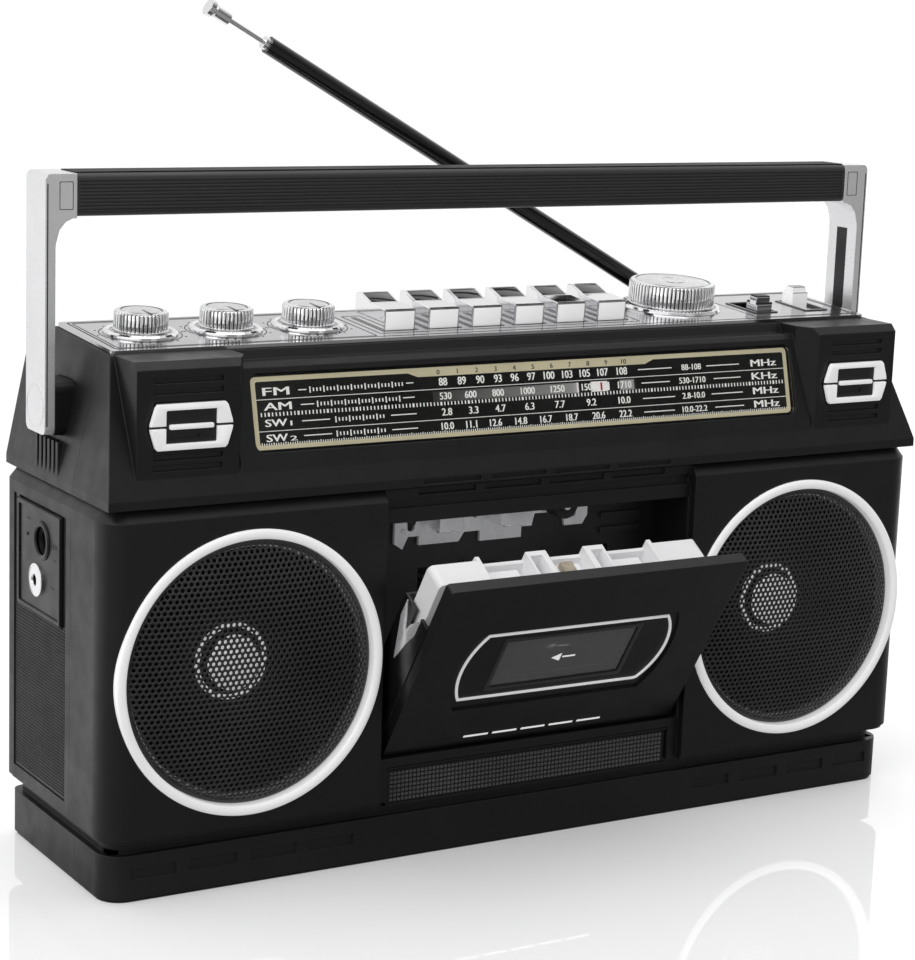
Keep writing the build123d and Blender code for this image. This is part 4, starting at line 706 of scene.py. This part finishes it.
# upper half of the split frame: x, y from the emblem's centre
EMBLEM_HALF = ((-13.3, 0.42), (-13.15, 1.4), (-11.7, 6.0), (-10.9, 6.9), (10.9, 6.9), (11.7, 6.0),
               (13.15, 1.4), (13.3, 0.42), (8.35, 0.42), (8.35, 4.7), (8.05, 5.0), (-8.05, 5.0),
               (-8.35, 4.7), (-8.35, 0.42))
EMBLEM_BACK = [(-13.5, 0.9), (-13.5, -0.9), (-11.3, -7.2), (11.3, -7.2), (13.5, -0.9), (13.5, 0.9),
               (11.3, 7.2), (-11.3, 7.2)]
for sign, side in SIDES:
    plane = shifted(FRONT, sign * EMBLEM_X, EMBLEM_Z)
    emblem = Mesh(plane)
    for flip in (1, -1):
        emblem.prism(ccw([(x, flip * y) for x, y in EMBLEM_HALF]), -2.2, -0.75, bevel=0.3)
    emblem.prism(rect(-7.1, 7.1, -0.75, 0.75, 0.5, steps=4), -1.9, -0.8, bevel=0.25)
    emblem.build("emblem_" + side, "cabinet", WHITE, "white_trim",
                 replaces=("emblem_frames",) if sign < 0 else ())
    backing = Mesh(plane)
    backing.prism(EMBLEM_BACK, -3.6, -2.2)
    backing.box(-8.3, 8.3, -4.95, 4.95, -2.2, -1.95)
    backing.box(-6.4, 5.6, -3.95, -3.45, -1.95, -1.7)
    backing.box(2.6, 4.2, -3.45, -2.5, -1.95, -1.6)
    backing.build("emblem_back_" + side, "cabinet", ENGRAVE, "black_gloss")
    slots = Mesh(plane)
    for z in (13.75, 10.4, -9.2, -12.5):
        slots.box(-11.1, 11.1, z - 0.8, z + 0.8, -3.5, -3.35)
    slots.build("emblem_slots_" + side, "cabinet", ENGRAVE, "black_gloss")

# ---------------------------------------------------------------- dial print, diffuser, pointer
DIAL_FACE = -0.415
DIAL_PRINT = DIAL_FACE + 0.06
border = Mesh(DIAL)
border.frame(rect(-101.6, 101.6, -11.1, 11.1, 1.5), rect(-100.1, 100.1, -9.75, 9.6, 0.7),
             DIAL_FACE, DIAL_FACE + 0.07)
border.prism([(-43.4, 8.25), (43.0, 8.25), (46.6, 9.7), (-47.2, 9.7)], DIAL_FACE, DIAL_FACE + 0.07)
border.build("dial_border", "cabinet", CREAM, "dial_print")
numbers = Mesh(DIAL)
for i in range(11):
    numbers.text(str(i), DIAL_FACE + 0.08, 8.75, 10.25, bold=0.04, center=-36.0 + 7.06 * i,
                 wide=1.1, thick=0.03)
numbers.build("dial_log_scale", "cabinet", INK, "dial_print")

# text, x from, x to, y from, y to
BAND_NAMES = (("FM", -97.7, -88.8, 5.3, 7.7), ("AM", -97.7, -88.4, 0.8, 3.1),
              ("SW", -97.7, -90.4, -4.15, -1.95), ("1", -89.2, -88.7, -4.15, -2.7),
              ("SW", -97.7, -90.6, -8.75, -6.5), ("2", -89.7, -87.4, -8.75, -7.3))
# first x, number of ticks, y
TICK_ROWS = ((-81.6, 28, 6.4), (-79.4, 25, 1.9), (-73.6, 15, -3.2), (-73.6, 15, -7.6))
# x from, x to, y
DASHES = ((-85.6, -82.8, 6.5), (-47.8, -45.2, 6.6), (-85.2, -80.6, 2.0), (-49.4, -45.2, 2.1),
          (-85.2, -75.6, -3.0), (-54.2, -45.0, -3.1), (-85.0, -75.4, -7.5), (-54.2, -45.0, -7.6),
          (40.0, 53.6, 6.5), (67.8, 81.4, 6.4), (41.0, 52.4, 2.0), (70.4, 81.6, 2.0),
          (41.0, 54.0, -3.1), (69.0, 82.0, -3.1), (41.0, 53.4, -7.6), (70.0, 82.0, -7.6))
# frequencies, their centres, y from, y to, letter width
FREQUENCY_ROWS = (
    ("88 89 90 93 96 97 100 103 105 107 108",
     (-34.5, -27.6, -20.8, -14.2, -7.9, -1.6, 5.2, 12.2, 19.0, 26.0, 33.6), 5.15, 7.65, 0.88),
    ("2.8 3.3 4.7 6.3 7.7 9.2 10.0",
     (-34.0, -24.2, -14.2, -3.2, 8.4, 20.6, 33.6), -4.3, -2.0, 0.95),
    ("10.0 11.1 12.6 14.8 16.7 18.7 20.6 22.2",
     (-34.2, -25.4, -16.4, -6.9, 2.6, 12.6, 23.0, 33.6), -8.75, -6.45, 0.90))
AM_ROW = ("530 600 800 1000 1250 1500 1710",
          (-34.0, -24.8, -14.6, -3.4, 8.0, 20.0, 34.2), 0.75, 3.0, 0.92)


def print_row(mesh, height, labels, centers, y0, y1, wide):
    for label, x in zip(labels.split(), centers):
        mesh.text(label, height, y0, y1, bold=0.05, center=x, wide=wide)


def print_bar(x0, x1, y0, y1, high=DIAL_PRINT):
    lettering.box(x0, x1, y0, y1, DIAL_FACE, high)


lettering = Mesh(DIAL)
for label, x0, x1, y0, y1 in BAND_NAMES:
    lettering.text(label, DIAL_FACE, y0, y1, bold=0.075, x0=x0, x1=x1)
for x0, count, y in TICK_ROWS:
    for i in range(count):
        half = 0.95 if i % 4 == 0 else 0.55
        x = x0 + 1.2 * i
        print_bar(x - 0.22, x + 0.22, y - half, y + half)
for x0, x1, y in DASHES:
    print_bar(x0, x1, y - 0.16, y + 0.16)
for row in FREQUENCY_ROWS:
    print_row(lettering, DIAL_FACE, *row)
for label, y in (("88-108", 6.4), ("530-1710", 2.0), ("2.8-10.0", -3.1), ("10.0-22.2", -7.6)):
    lettering.text(label, DIAL_FACE, y - 1.0, y + 1.0, bold=0.045, center=61.6)
for label, y in (("MHz", 6.4), ("KHz", 2.0), ("MHz", -3.0), ("MHz", -7.5)):
    lettering.text(label, DIAL_FACE, y - 1.15, y + 1.15, bold=0.075, x0=86.4, x1=97.0)
for y in (4.02, -5.62):
    print_bar(-100.1, 100.1, y, y + 0.2)
for i in range(158):    # middle ruler
    x = -98.8 + 1.26 * i
    half = 0.34 if i % 8 == 2 else 0.2
    print_bar(x - half, x + half, -1.05, 0.05 if -38.9 < x < 39.0 else 0.15)
for i in range(250):    # fine ruler along the bottom edge
    x = -99.4 + 0.8 * i
    print_bar(x - 0.15, x + 0.15, -9.85, -9.15 if i % 5 else -8.95, DIAL_FACE + 0.05)
lettering.build("dial_lettering", "cabinet", PRINT, "dial_print", merge=False)
am_lettering = Mesh(DIAL)
print_row(am_lettering, -0.375, *AM_ROW)
am_lettering.build("dial_lettering_am", "cabinet", PRINT, "dial_print", merge=False)

Mesh(DIAL).box(-66.0, 66.0, -5.6, 8.2, -5.3, -4.6, bevel=0.2).build(
    "dial_diffuser", "cabinet", DIFFUSER, "pointer_white")
Mesh(DIAL).box(25.55, 26.25, 0.55, 3.15, -1.71, -1.60).build(
    "pointer_line", "dial_pointer", RED, "pointer_white")
carrier = Mesh(DIAL)
for x0, x1 in ((17.9, 22.66), (29.14, 34.1)):
    carrier.box(x0, x1, -5.05, 7.05, -3.02, -2.93)
carrier.build("pointer_carrier_cover", "dial_pointer", ENGRAVE, "black_gloss")
Mesh(DIAL).frame(rect(-104.6, 104.6, -14.0, 13.9, 3.4), rect(-102.3, 102.3, -11.8, 11.8, 2.7),
                 -1.3, 0.28, bevel=0.35).build("dial_bezel", "cabinet", SHELL_FINE, "black_shell")

# ---------------------------------------------------------------- top plate
SMALL_KNOBS = (("volume_knob", -124.0), ("tone_knob", -95.2), ("balance_knob", -66.5))
SMALL_KNOB_Y = 21.6
TUNING_AT = (78.0, 26.6)
SLIDER_SLOTS = ((103.0, 111.0), (125.0, 133.0))     # x from, x to
KEY_WIDTH = 11.4
KEY_LEFTS = [-45.1 + 16.3 * i for i in range(len(KEYS))]
INK_HIGH = 0.05

ink = Mesh(TOP)
# x from, x to, y from, y to, line width, corner radii
for line in ((-140.6, 140.6, 2.0, 40.9, 0.5, (1.0, 0.8)), (-139.3, -51.0, 3.3, 39.6, 0.35, (0.8, 0.6)),
             (98.5, 139.3, 3.3, 39.6, 0.35, (0.8, 0.6)), (-48.6, 51.4, 6.0, 33.0, 0.35, (0.8, 0.6))):
    ink.border(*line, 0.0, INK_HIGH)
for _, x in SMALL_KNOBS:
    ink.frame(circle(x, SMALL_KNOB_Y, 12.9, 96), circle(x, SMALL_KNOB_Y, 12.6, 96), 0.0, INK_HIGH)
    for k in range(11):
        angle = math.radians(-60 + 30 * k)
        ink.cylinder(x + 14.0 * math.cos(angle), SMALL_KNOB_Y + 14.0 * math.sin(angle),
                     0.0, INK_HIGH, 0.35, count=12)
ink.build("top_plate_print", "cabinet", ENGRAVE, "black_gloss")
bezels = Mesh(TOP)
for _, x in SMALL_KNOBS:
    bezels.lathe(x, SMALL_KNOB_Y, [(9.3, 0.05), (9.3, 0.5), (10.2, 1.35), (10.9, 1.35),
                                   (11.6, 0.8), (11.7, 0.05)])
bezels.lathe(*TUNING_AT, [(15.5, 0.05), (15.5, 0.6), (16.2, 1.1), (17.0, 1.0), (17.6, 0.05)],
             count=128)
bezels.build("knob_bezels", "cabinet", CHROME, "chrome")
liners = Mesh(TOP)
for x0, x1 in SLIDER_SLOTS:
    liners.border(x0 - 1.2, x1 + 1.2, 9.2, 27.2, 1.25, (0.8, 0.3), -1.1, 0.4, bevel=0.3)
liners.build("slot_liners", "cabinet", GLOSS, "black_gloss")
surrounds = Mesh(TOP)
for x in KEY_LEFTS:
    surrounds.frame(rect(x - 0.9, x + KEY_WIDTH + 0.9, 9.2, 31.0, 0.4),
                    rect(x - 0.22, x + KEY_WIDTH + 0.22, 9.93, 30.27, 0.1), -1.15, 0.12)
surrounds.build("key_surrounds", "cabinet", GLOSS, "black_gloss")

# ---------------------------------------------------------------- knobs
KNOB_LOW = 0.6


def knob(body, x, y, radius, high, teeth, groove, ringed):
    """Fluted knob with a small ring on its top, or else a pointer line."""
    count = teeth * 8
    # added to radius, height, share of the groove depth
    stations = (
        (-0.7, KNOB_LOW, 0), (-0.15, KNOB_LOW + 0.3, 0), (0.05, KNOB_LOW + 0.8, 0),
        (0.05, KNOB_LOW + 1.0, 0), (-0.1, KNOB_LOW + 1.1, 1), (-0.1, high - 0.7, 1),
        (-0.3, high - 0.45, 0.6), (-0.55, high - 0.25, 0), (-1.0, high - 0.05, 0),
        (-1.5, high, 0), (-1.9, high - 0.02, 0), (-2.1, high - 0.3, 0))
    rings = []
    for added, height, share in stations:
        ring = []
        for i in range(count):
            tooth = max(0.0, min(1.0, 2.2 * math.sin(math.pi * (i % 8) / 8.0) - 0.6))
            reach = radius + added - share * groove * (1 - tooth)
            angle = 2 * math.pi * i / count
            ring.append((x + reach * math.cos(angle), y + reach * math.sin(angle), height))
        rings.append(ring)
    cap = Mesh(TOP).skin(rings, caps=False)
    # painted shade: the groove bottoms, the foot and the inner edge of the top take the black gloss
    for k in range(len(cap.faces)):
        band, i = divmod(k, count)
        if band in (4, 5, 6) and i % 8 in (7, 0) or band == 0 or band >= 10:
            cap.materials[k] = 2
    cap.lathe(x, y, [(radius - 2.1, high - 0.3), (radius - 2.3, high - 0.35),
                     (radius - 2.6, high - 0.02), (radius - 3.0, high + 0.08),
                     (radius * 0.3, high + 0.16), (0, high + 0.18)], material=1, closed=False)
    cap.lathe(x, y, [(0, KNOB_LOW), (radius - 0.7, KNOB_LOW)], count=count, closed=False)
    if ringed:
        cap.lathe(x, y, [(radius * 0.305, high + 0.05), (radius * 0.315, high + 0.3),
                         (radius * 0.34, high + 0.3), (radius * 0.35, high + 0.05)])
    else:
        cap.box(x - 0.45, x + 0.45, y - radius + 1.1, y - 1.2, high - 0.05, high + 0.28,
                bevel=0.1, material=2)
    cap.cylinder(x, y, -7.4, KNOB_LOW + 0.1, 2.95, count=32)
    cap.build(body + "_cap", body, [CHROME, KNOB_TOP, GLOSS], "chrome", smooth=40,
              replaces=(body,))


for name, x in SMALL_KNOBS:
    knob(name, x, SMALL_KNOB_Y, radius=8.5, high=7.4, teeth=40, groove=0.42, ringed=False)
knob("tuning_knob", *TUNING_AT, radius=15.0, high=9.1, teeth=66, groove=0.5, ringed=True)

# ---------------------------------------------------------------- piano keys
RAMP_START, RAMP_END = (20.2, 6.5), (27.6, 8.7)     # y, height on the top plate
RAMP = math.atan2(RAMP_END[1] - RAMP_START[1], RAMP_END[0] - RAMP_START[0])
for name, left_x in zip(KEYS, KEY_LEFTS):
    middle = left_x + KEY_WIDTH / 2
    ramp = shifted(TOP, middle, *RAMP_START) @ Matrix.Rotation(RAMP, 4, "X")
    Mesh(ramp).box(-4.6, 4.6, 0.9, 7.3, -0.2, 0.16, bevel=0.1, corner=0.3).build(
        name + "_insert", name, GLOSS, "black_gloss")
    Mesh(ramp).frame(rect(-5.15, 5.15, 0.35, 7.75, 0.5), rect(-4.62, 4.62, 0.88, 7.32, 0.3),
                     -0.2, 0.30, bevel=0.12).build(name + "_frame", name, CHROME, "chrome")
    front = shifted(TOP, middle, 10.2) @ Matrix.Rotation(math.radians(90), 4, "X")
    Mesh(front).box(-5.2, 5.2, -0.5, 5.9, -0.1, 0.12, bevel=0.12).build(
        name + "_face", name, WHITE, "white_trim")

# ---------------------------------------------------------------- slide switches
ribs = Mesh(TOP)
for i in range(4):
    ribs.box(104.2, 109.8, 12.2 + i, 12.75 + i, 4.9, 5.5, bevel=0.15)
for y in (11.1, 16.1):
    ribs.box(103.7, 110.3, y, y + 0.8, 2.5, 3.4, bevel=0.2)
ribs.build("function_slider_ribs", "function_slider", GLOSS, "black_gloss")
ribs = Mesh(TOP)
for i in range(3):
    ribs.box(126.2, 131.8, 20.4 + i * 1.3, 21.0 + i * 1.3, 5.9, 6.5, bevel=0.15)
ribs.box(125.7, 132.3, 19.3, 25.1, 3.6, 4.6, bevel=0.3)
ribs.build("band_slider_ribs", "band_slider", CHROME, "chrome")

# ---------------------------------------------------------------- cassette door
# line up the right edge and down the left one
TRIM_LINE = ([(31.6, 19.9)] + arc_through((33.0, 20.2), (38.4, 33.5), (33.9, 48.8), 20)
             + arc_through((-33.9, 49.2), (-38.8, 35.0), (-35.6, 20.4), 20))
Mesh(DOOR).frame(offset(TRIM_LINE, -0.45), offset(TRIM_LINE, 0.45), 3.1, 3.75, bevel=0.15).build(
    "door_trim_line", "door", WHITE, "white_trim", smooth=50)
Mesh(DOOR).border(-27.2, 25.2, 23.0, 46.7, 1.65, (0.8, 0.3), 3.1, 3.5, bevel=0.2).build(
    "door_window_frame", "door", GLOSS, "black_gloss")
marks = Mesh(DOOR)
marks.prism([(-5.4, 34.6), (-2.0, 32.9), (-2.0, 36.3)], 2.9, 2.98)
marks.box(-1.2, 3.6, 34.3, 34.9, 2.9, 2.98)
for i in range(5):
    marks.box(-27.2 + 10.9 * i, -18.0 + 10.9 * i, 1.8, 2.6, 4.0, 4.08)
marks.build("door_marks", "door", PRINT, "white_trim", merge=False)

# holder springs: distance up the door, depth behind it
LEAF_SPRING = [(30.0, 9.0), (41.0, 5.6), (44.6, 4.2), (51.4, 4.0), (46.4, 7.6), (42.6, 9.0),
               (46.4, 10.6), (51.4, 13.6), (44.6, 13.8), (41.0, 12.6)]
holder_side = plane_at(-56.0, *DOOR_HINGE, DOOR_UP, (-1, 0, 0))
Mesh(holder_side).prism(ccw(LEAF_SPRING), -0.1, 0.25, bevel=0.08).build(
    "holder_leaf_spring", "door", CHROME_SOFT, "chrome")
wires = Mesh(DOOR)
for x in (-51.5, 43.4):
    wires.tube([(x, 14 + 2.0 * i, -15.0 + 1.1 * math.sin(math.pi * i / 12)) for i in range(13)],
               0.3, count=8)
wires.build("holder_wire_springs", "door", CHROME_SOFT, "chrome")

# ---------------------------------------------------------------- cassette
TAPE_X, TAPE_MID = -4.0, -8.5       # centre across, height of the middle of the tape
SHELL_FACE = TAPE_MID + 4.35
HUB_OFFSET, HUB_Y = 21.25, 29.4
CASSETTE = shifted(DOOR, 0, 3.0)    # the cassette rests 3 mm up the door
LABEL_LOW, LABEL_HIGH = SHELL_FACE - 0.32, SHELL_FACE - 0.12

label = Mesh(CASSETTE)
# label around the window: x from, x to, y from, y to, corner radius
for x0, x1, y0, y1, corner in ((-45.2, 45.2, 36.2, 44.0, 1.2), (-45.2, 45.2, 3.4, 22.8, 1.2),
                               (-45.2, -28.0, 22.8, 36.2, 0.0), (28.0, 45.2, 22.8, 36.2, 0.0)):
    label.box(TAPE_X + x0, TAPE_X + x1, y0, y1, LABEL_LOW, LABEL_HIGH, corner=corner)
label.build("cassette_label", "cassette", LABEL, "cassette_grey")
lines = Mesh(CASSETTE)
for i in range(4):
    lines.box(TAPE_X - 42, TAPE_X + 42, 38.0 + 1.5 * i, 38.15 + 1.5 * i,
              SHELL_FACE - 0.13, SHELL_FACE - 0.09)
lines.build("cassette_label_lines", "cassette", PRINT_GREY, "cassette_grey")
screws = Mesh(CASSETTE)
for x, y in ((-46.2, 61.2), (46.2, 61.2), (-46.2, 2.4), (46.2, 2.4), (0.0, 16.0)):
    screws.cylinder(TAPE_X + x, y, SHELL_FACE - 0.3, SHELL_FACE + 0.12, 1.3, count=24, bevel=0.15)
screws.build("cassette_screws", "cassette", ZINC, "zinc")
pads = Mesh(CASSETTE)
for x in (TAPE_X - 23.0, TAPE_X, TAPE_X + 23.0):
    pads.box(x - 6.0, x + 6.0, 55.05, 58.6, TAPE_MID - 3.4, TAPE_MID + 2.2, bevel=0.25)
    pads.box(x - 5.2, x + 5.2, 55.3, 59.4, TAPE_MID + 2.6, TAPE_MID + 2.9, material=1)
pads.box(TAPE_X - 2.2, TAPE_X + 2.2, 58.6, 60.8, TAPE_MID - 2.6, TAPE_MID + 1.6, bevel=0.3,
         material=2)
pads.build("cassette_pads", "cassette", [TAPE_GREY, STEEL, FELT], "cassette_grey")
posts = Mesh(CASSETTE)
for x in (-11.4, 11.4):
    posts.cylinder(TAPE_X + x, 58.8, TAPE_MID - 3.6, TAPE_MID + 3.6, 1.3, count=24)
posts.build("cassette_posts", "cassette", STEEL, "steel")
for (sign, side), radius, inner in zip(SIDES, (19.62, 13.02), (19.5, 12.9)):
    profile = [(radius, TAPE_MID - 2.6), (radius, TAPE_MID + 2.6), (6.2, TAPE_MID + 2.72),
               (6.2, TAPE_MID + 2.66), (inner, TAPE_MID + 2.5), (inner, TAPE_MID - 2.6)]
    Mesh(CASSETTE).lathe(TAPE_X + sign * HUB_OFFSET, HUB_Y, profile, count=128).build(
        "tape_pack_" + side, "cassette_hub_" + side, TAPE, "hub_white")

# ---------------------------------------------------------------- handle brackets
BRACKET_LOW, BRACKET_HIGH = -39.45, -39.33
for sign, side in SIDES:
    # the channel lies on the bracket's face towards the middle of the radio, the seam on its front
    channel = Mesh(plane_at(sign * 152.8, 0, 0, (0, -sign, 0), (-sign, 0, 0)))
    channel.box(-sign * 44.6, -sign * 50.2, 151.0, 194.0, -0.2, 0.06)
    channel.plane = FRONT
    channel.box(sign * 155.15, sign * 155.5, 141.0, 214.0, BRACKET_LOW, BRACKET_HIGH)
    channel.build("bracket_channel_" + side, "handle", ENGRAVE, "black_gloss")
    x0, x1 = sorted((sign * 147.2, sign * 151.6))
    Mesh(FRONT).border(x0, x1, 206.2, 214.6, 0.2, (0.4, 0.3), -39.5, BRACKET_HIGH).build(
        "bracket_pad_" + side, "handle", ENGRAVE, "black_gloss")
    boss = plane_at(sign * 156.0, 47.5, 146.0, (0, 1, 0), (sign, 0, 0))
    profile = [(6.9, -0.1), (6.9, 0.05), (6.5, 0.12), (6.1, 0.05), (6.1, -0.1)]
    Mesh(boss).lathe(0, 0, profile, count=72).build(
        "bracket_ring_" + side, "handle", CHROME_SOFT, "chrome")

# ---------------------------------------------------------------- tape mechanism in the open bay
springs = Mesh(FRONT)
springs.tube([(-22.2 + 0.76 * i, 107.0 + 1.6 * math.sin(math.pi * (0.15 + i / 24.0)), -20.6)
              for i in range(14)], 0.32, count=8)
springs.tube([(-40.4 + 0.55 * math.cos(i * 0.7), 103.0 + 0.55 * math.sin(i * 0.7),
               -20.9 + 0.03 * i) for i in range(40)], 0.2, count=6)
springs.cylinder(-48.0, 100.5, -23.0, -21.2, 1.3, count=24, bevel=0.2)
springs.build("mech_springs", "cabinet", CHROME_SOFT, "chrome")
# x, z before the lever is shortened and raised
LEVER = ((-52.0, 84.0), (-47.6, 84.0), (-46.8, 88.0), (-49.2, 91.0), (-49.8, 96.0),
         (-52.6, 104.0), (-49.6, 105.5), (-50.6, 108.2), (-55.6, 108.2), (-54.4, 103.6),
         (-51.9, 95.0), (-51.6, 90.0), (-53.2, 88.0))
lever = ccw([(x, 92.0 + (z - 84.0) * 0.66) for x, z in LEVER])
Mesh(FRONT).prism(lever, -22.4, -21.2, bevel=0.12).build("mech_lever", "cabinet", STEEL, "steel")
gears = Mesh(FRONT)
for x, z, radius, teeth in ((-17.0, 86.3, 5.0, 22), (-6.0, 84.0, 6.0, 24), (30.4, 79.5, 6.0, 26)):
    outline = []
    for i in range(teeth * 4):
        reach = radius if i % 4 in (1, 2) else radius - 0.8
        angle = 2 * math.pi * i / (teeth * 4)
        outline.append((reach * math.cos(angle) + x, reach * math.sin(angle) + z))
    gears.prism(outline, -22.98, -22.1, bevel=0.1)
    gears.cylinder(x, z, -22.1, -21.6, radius * 0.4, count=40, bevel=0.15)
    gears.cylinder(x, z, -21.6, -21.2, 0.9, count=20, bevel=0.15)
gears.build("mech_gears", "cabinet", HOLDER, "black_gloss")
screws = Mesh(FRONT)
for x, z in ((-52, 36.6), (52, 36.6), (-52, 112), (52, 112), (6, 115), (-3, 55)):
    screws.cylinder(x, z, -23.0, -22.0, 1.9, count=32, bevel=0.3)
    screws.box(x - 1.3, x + 1.3, z - 0.22, z + 0.22, -22.1, -21.95)
screws.build("mech_screws", "cabinet", ZINC, "zinc")
heads = Mesh(FRONT)
for x in (-4.0, -28.6):
    heads.box(x - 4.0, x + 4.0, 103.6, 104.4, -17.6, -12.4, bevel=0.15)
    heads.box(x - 1.2, x + 1.2, 103.3, 103.7, -16.4, -13.6, bevel=0.1)
heads.build("head_faces", "head_carriage", CHROME, "chrome")

# ---------------------------------------------------------------- back, and mark low on the front
Mesh(BACK).prism([(0.0, 72.4), (3.2, 77.0), (-3.2, 77.0)], -0.22, 0.05, bevel=0.08).build(
    "battery_door_arrow", "battery_door", SHELL_FINE, "black_shell")
fields = Mesh(BACK)
for x in (84.0, -128.0):
    fields.border(x, x + 44.0, 40.0, 74.0, 0.8, (1.2, 0.8), -0.1, 0.12, bevel=0.05)
fields.build("rear_panel_fields", "cabinet", SHELL_FINE, "black_shell")
Mesh(FRONT).box(126.0, 128.0, 124.5, 124.9, -0.12, 0.02).build(
    "mic_mark", "cabinet", ENGRAVE, "black_gloss")


# ---------------------------------------------------------------- floor, in metres
def make_floor(radius=9.0, count=64, z=-0.00005):
    me = bpy.data.meshes.new("floor")
    me.from_pydata([(0, 0, z)] + [(x, y, z) for x, y in circle(0, 0, radius, count)], [],
                   [(0, 1 + i, 1 + (i + 1) % count) for i in range(count)])
    floor = bpy.data.objects.new("floor", me)
    bpy.context.scene.collection.objects.link(floor)
    material = surface("floor_white", color=(0.92, 0.92, 0.925), rough=0.02, vary=0.01, blotch=2.0,
                       rough_vary=0.008, edge=0, specular=0.8, emit=0.24)
    # reflections and bounced light see a darker floor, darkest in front of the radio
    g = Graph(material, keep=True)
    white = g.tree.nodes["Principled BSDF"].outputs[0]
    output = g.tree.nodes["Material Output"].inputs[0]
    y = g.split(g.node("TexCoord").outputs["Object"])[1]
    darkness = g.remap(y, -0.08, 0.06, 1.0, 0.15)
    unseen = g.math("SUBTRACT", 1.0, g.node("LightPath").outputs["Is Camera Ray"])
    dark = g.node("BsdfDiffuse", {0: (0.27, 0.27, 0.27)}).outputs[0]
    g.feed(output, g.mix_shader(g.math("MULTIPLY", unseen, darkness), white, dark))
    me.materials.append(material)


# ---------------------------------------------------------------- world: soft walls of light
def make_world():
    world = bpy.data.worlds.new("studio")
    bpy.context.scene.world = world
    g = Graph(world)
    x, y, z = g.split(g.node("TexCoord").outputs["Generated"])

    def fade(axis, start, end, to_start=0.0, to_end=1.0):
        return g.remap(axis, start, end, to_start, to_end, interpolation_type="SMOOTHSTEP")

    strip = g.math("MULTIPLY", fade(x, 0.12, 0.2), fade(x, 0.48, 0.38))
    front_strip = g.math("MULTIPLY", fade(y, -0.55, -0.9), strip)
    level = 0.05
    # left, right, rear, top, and a strip in front to the right, each with its brightness
    for wall, gain in ((fade(x, -0.25, -0.6), 1.15), (fade(x, 0.45, 0.9), 0.45),
                       (fade(y, -0.1, 0.5), 0.80), (fade(z, 0.45, 0.85), 0.55),
                       (front_strip, 0.7)):
        level = g.math("ADD", level, g.math("MULTIPLY", wall, gain))
    below = fade(z, -0.02, 0.05, 0.3, 0.0)
    level = g.math("MINIMUM", g.math("ADD", level, below), 1.0)
    white = (1.0, 1.0, 1.0)
    lit = g.node("Background", {"Color": white, "Strength": level}).outputs[0]
    seen = g.node("Background", {"Color": white, "Strength": 1.05}).outputs[0]
    camera_ray = g.node("LightPath").outputs["Is Camera Ray"]
    g.node("OutputWorld", {0: g.mix_shader(camera_ray, lit, seen)})


# ---------------------------------------------------------------- lights and camera, in metres
def area_light(name, location, size, power):
    """Square light aimed at the middle of the radio."""
    light = bpy.data.lights.new(name, "AREA")
    light.energy = power
    light.size = size
    ob = bpy.data.objects.new(name, light)
    bpy.context.scene.collection.objects.link(ob)
    ob.location = location
    ob.rotation_mode = "QUATERNION"
    aim = Vector((0, 0, 0.1)) - Vector(location)
    ob.rotation_quaternion = aim.to_track_quat("-Z", "Y")


def make_camera(location, backward, roll_degrees, lens):
    """Camera looking against backward, turned about its view by the roll."""
    data = bpy.data.cameras.new("camera")
    camera = bpy.data.objects.new("camera", data)
    bpy.context.scene.collection.objects.link(camera)
    bpy.context.scene.camera = camera
    data.lens = lens
    data.sensor_width = 36.0
    data.sensor_fit = "AUTO"
    data.clip_start = 0.01
    data.clip_end = 50.0
    back = Vector(backward).normalized()
    right = (-back).cross(Vector((0, 0, 1))).normalized()
    up = right.cross(-back).normalized()
    roll = math.radians(roll_degrees)
    axes = (right * math.cos(roll) + up * math.sin(roll),
            -right * math.sin(roll) + up * math.cos(roll), back, location)
    camera.matrix_world = Matrix([[axis[i] for axis in axes] for i in range(3)] + [[0, 0, 0, 1]])


make_floor()
make_world()
area_light("key_left", (-0.95, -0.35, 0.75), size=0.7, power=2.1)
area_light("top_soft", (0.1, -0.15, 1.3), size=0.9, power=3.0)
area_light("front_low", (-0.25, -1.5, 0.55), size=0.5, power=0.8)
make_camera(location=(-0.44053, -0.71370, 0.28169), backward=(-0.50747, -0.83872, 0.19755),
            roll_degrees=2.099, lens=95.80)
bpy.context.scene.view_settings.view_transform = "Standard"
bpy.context.scene.view_settings.look = "None"
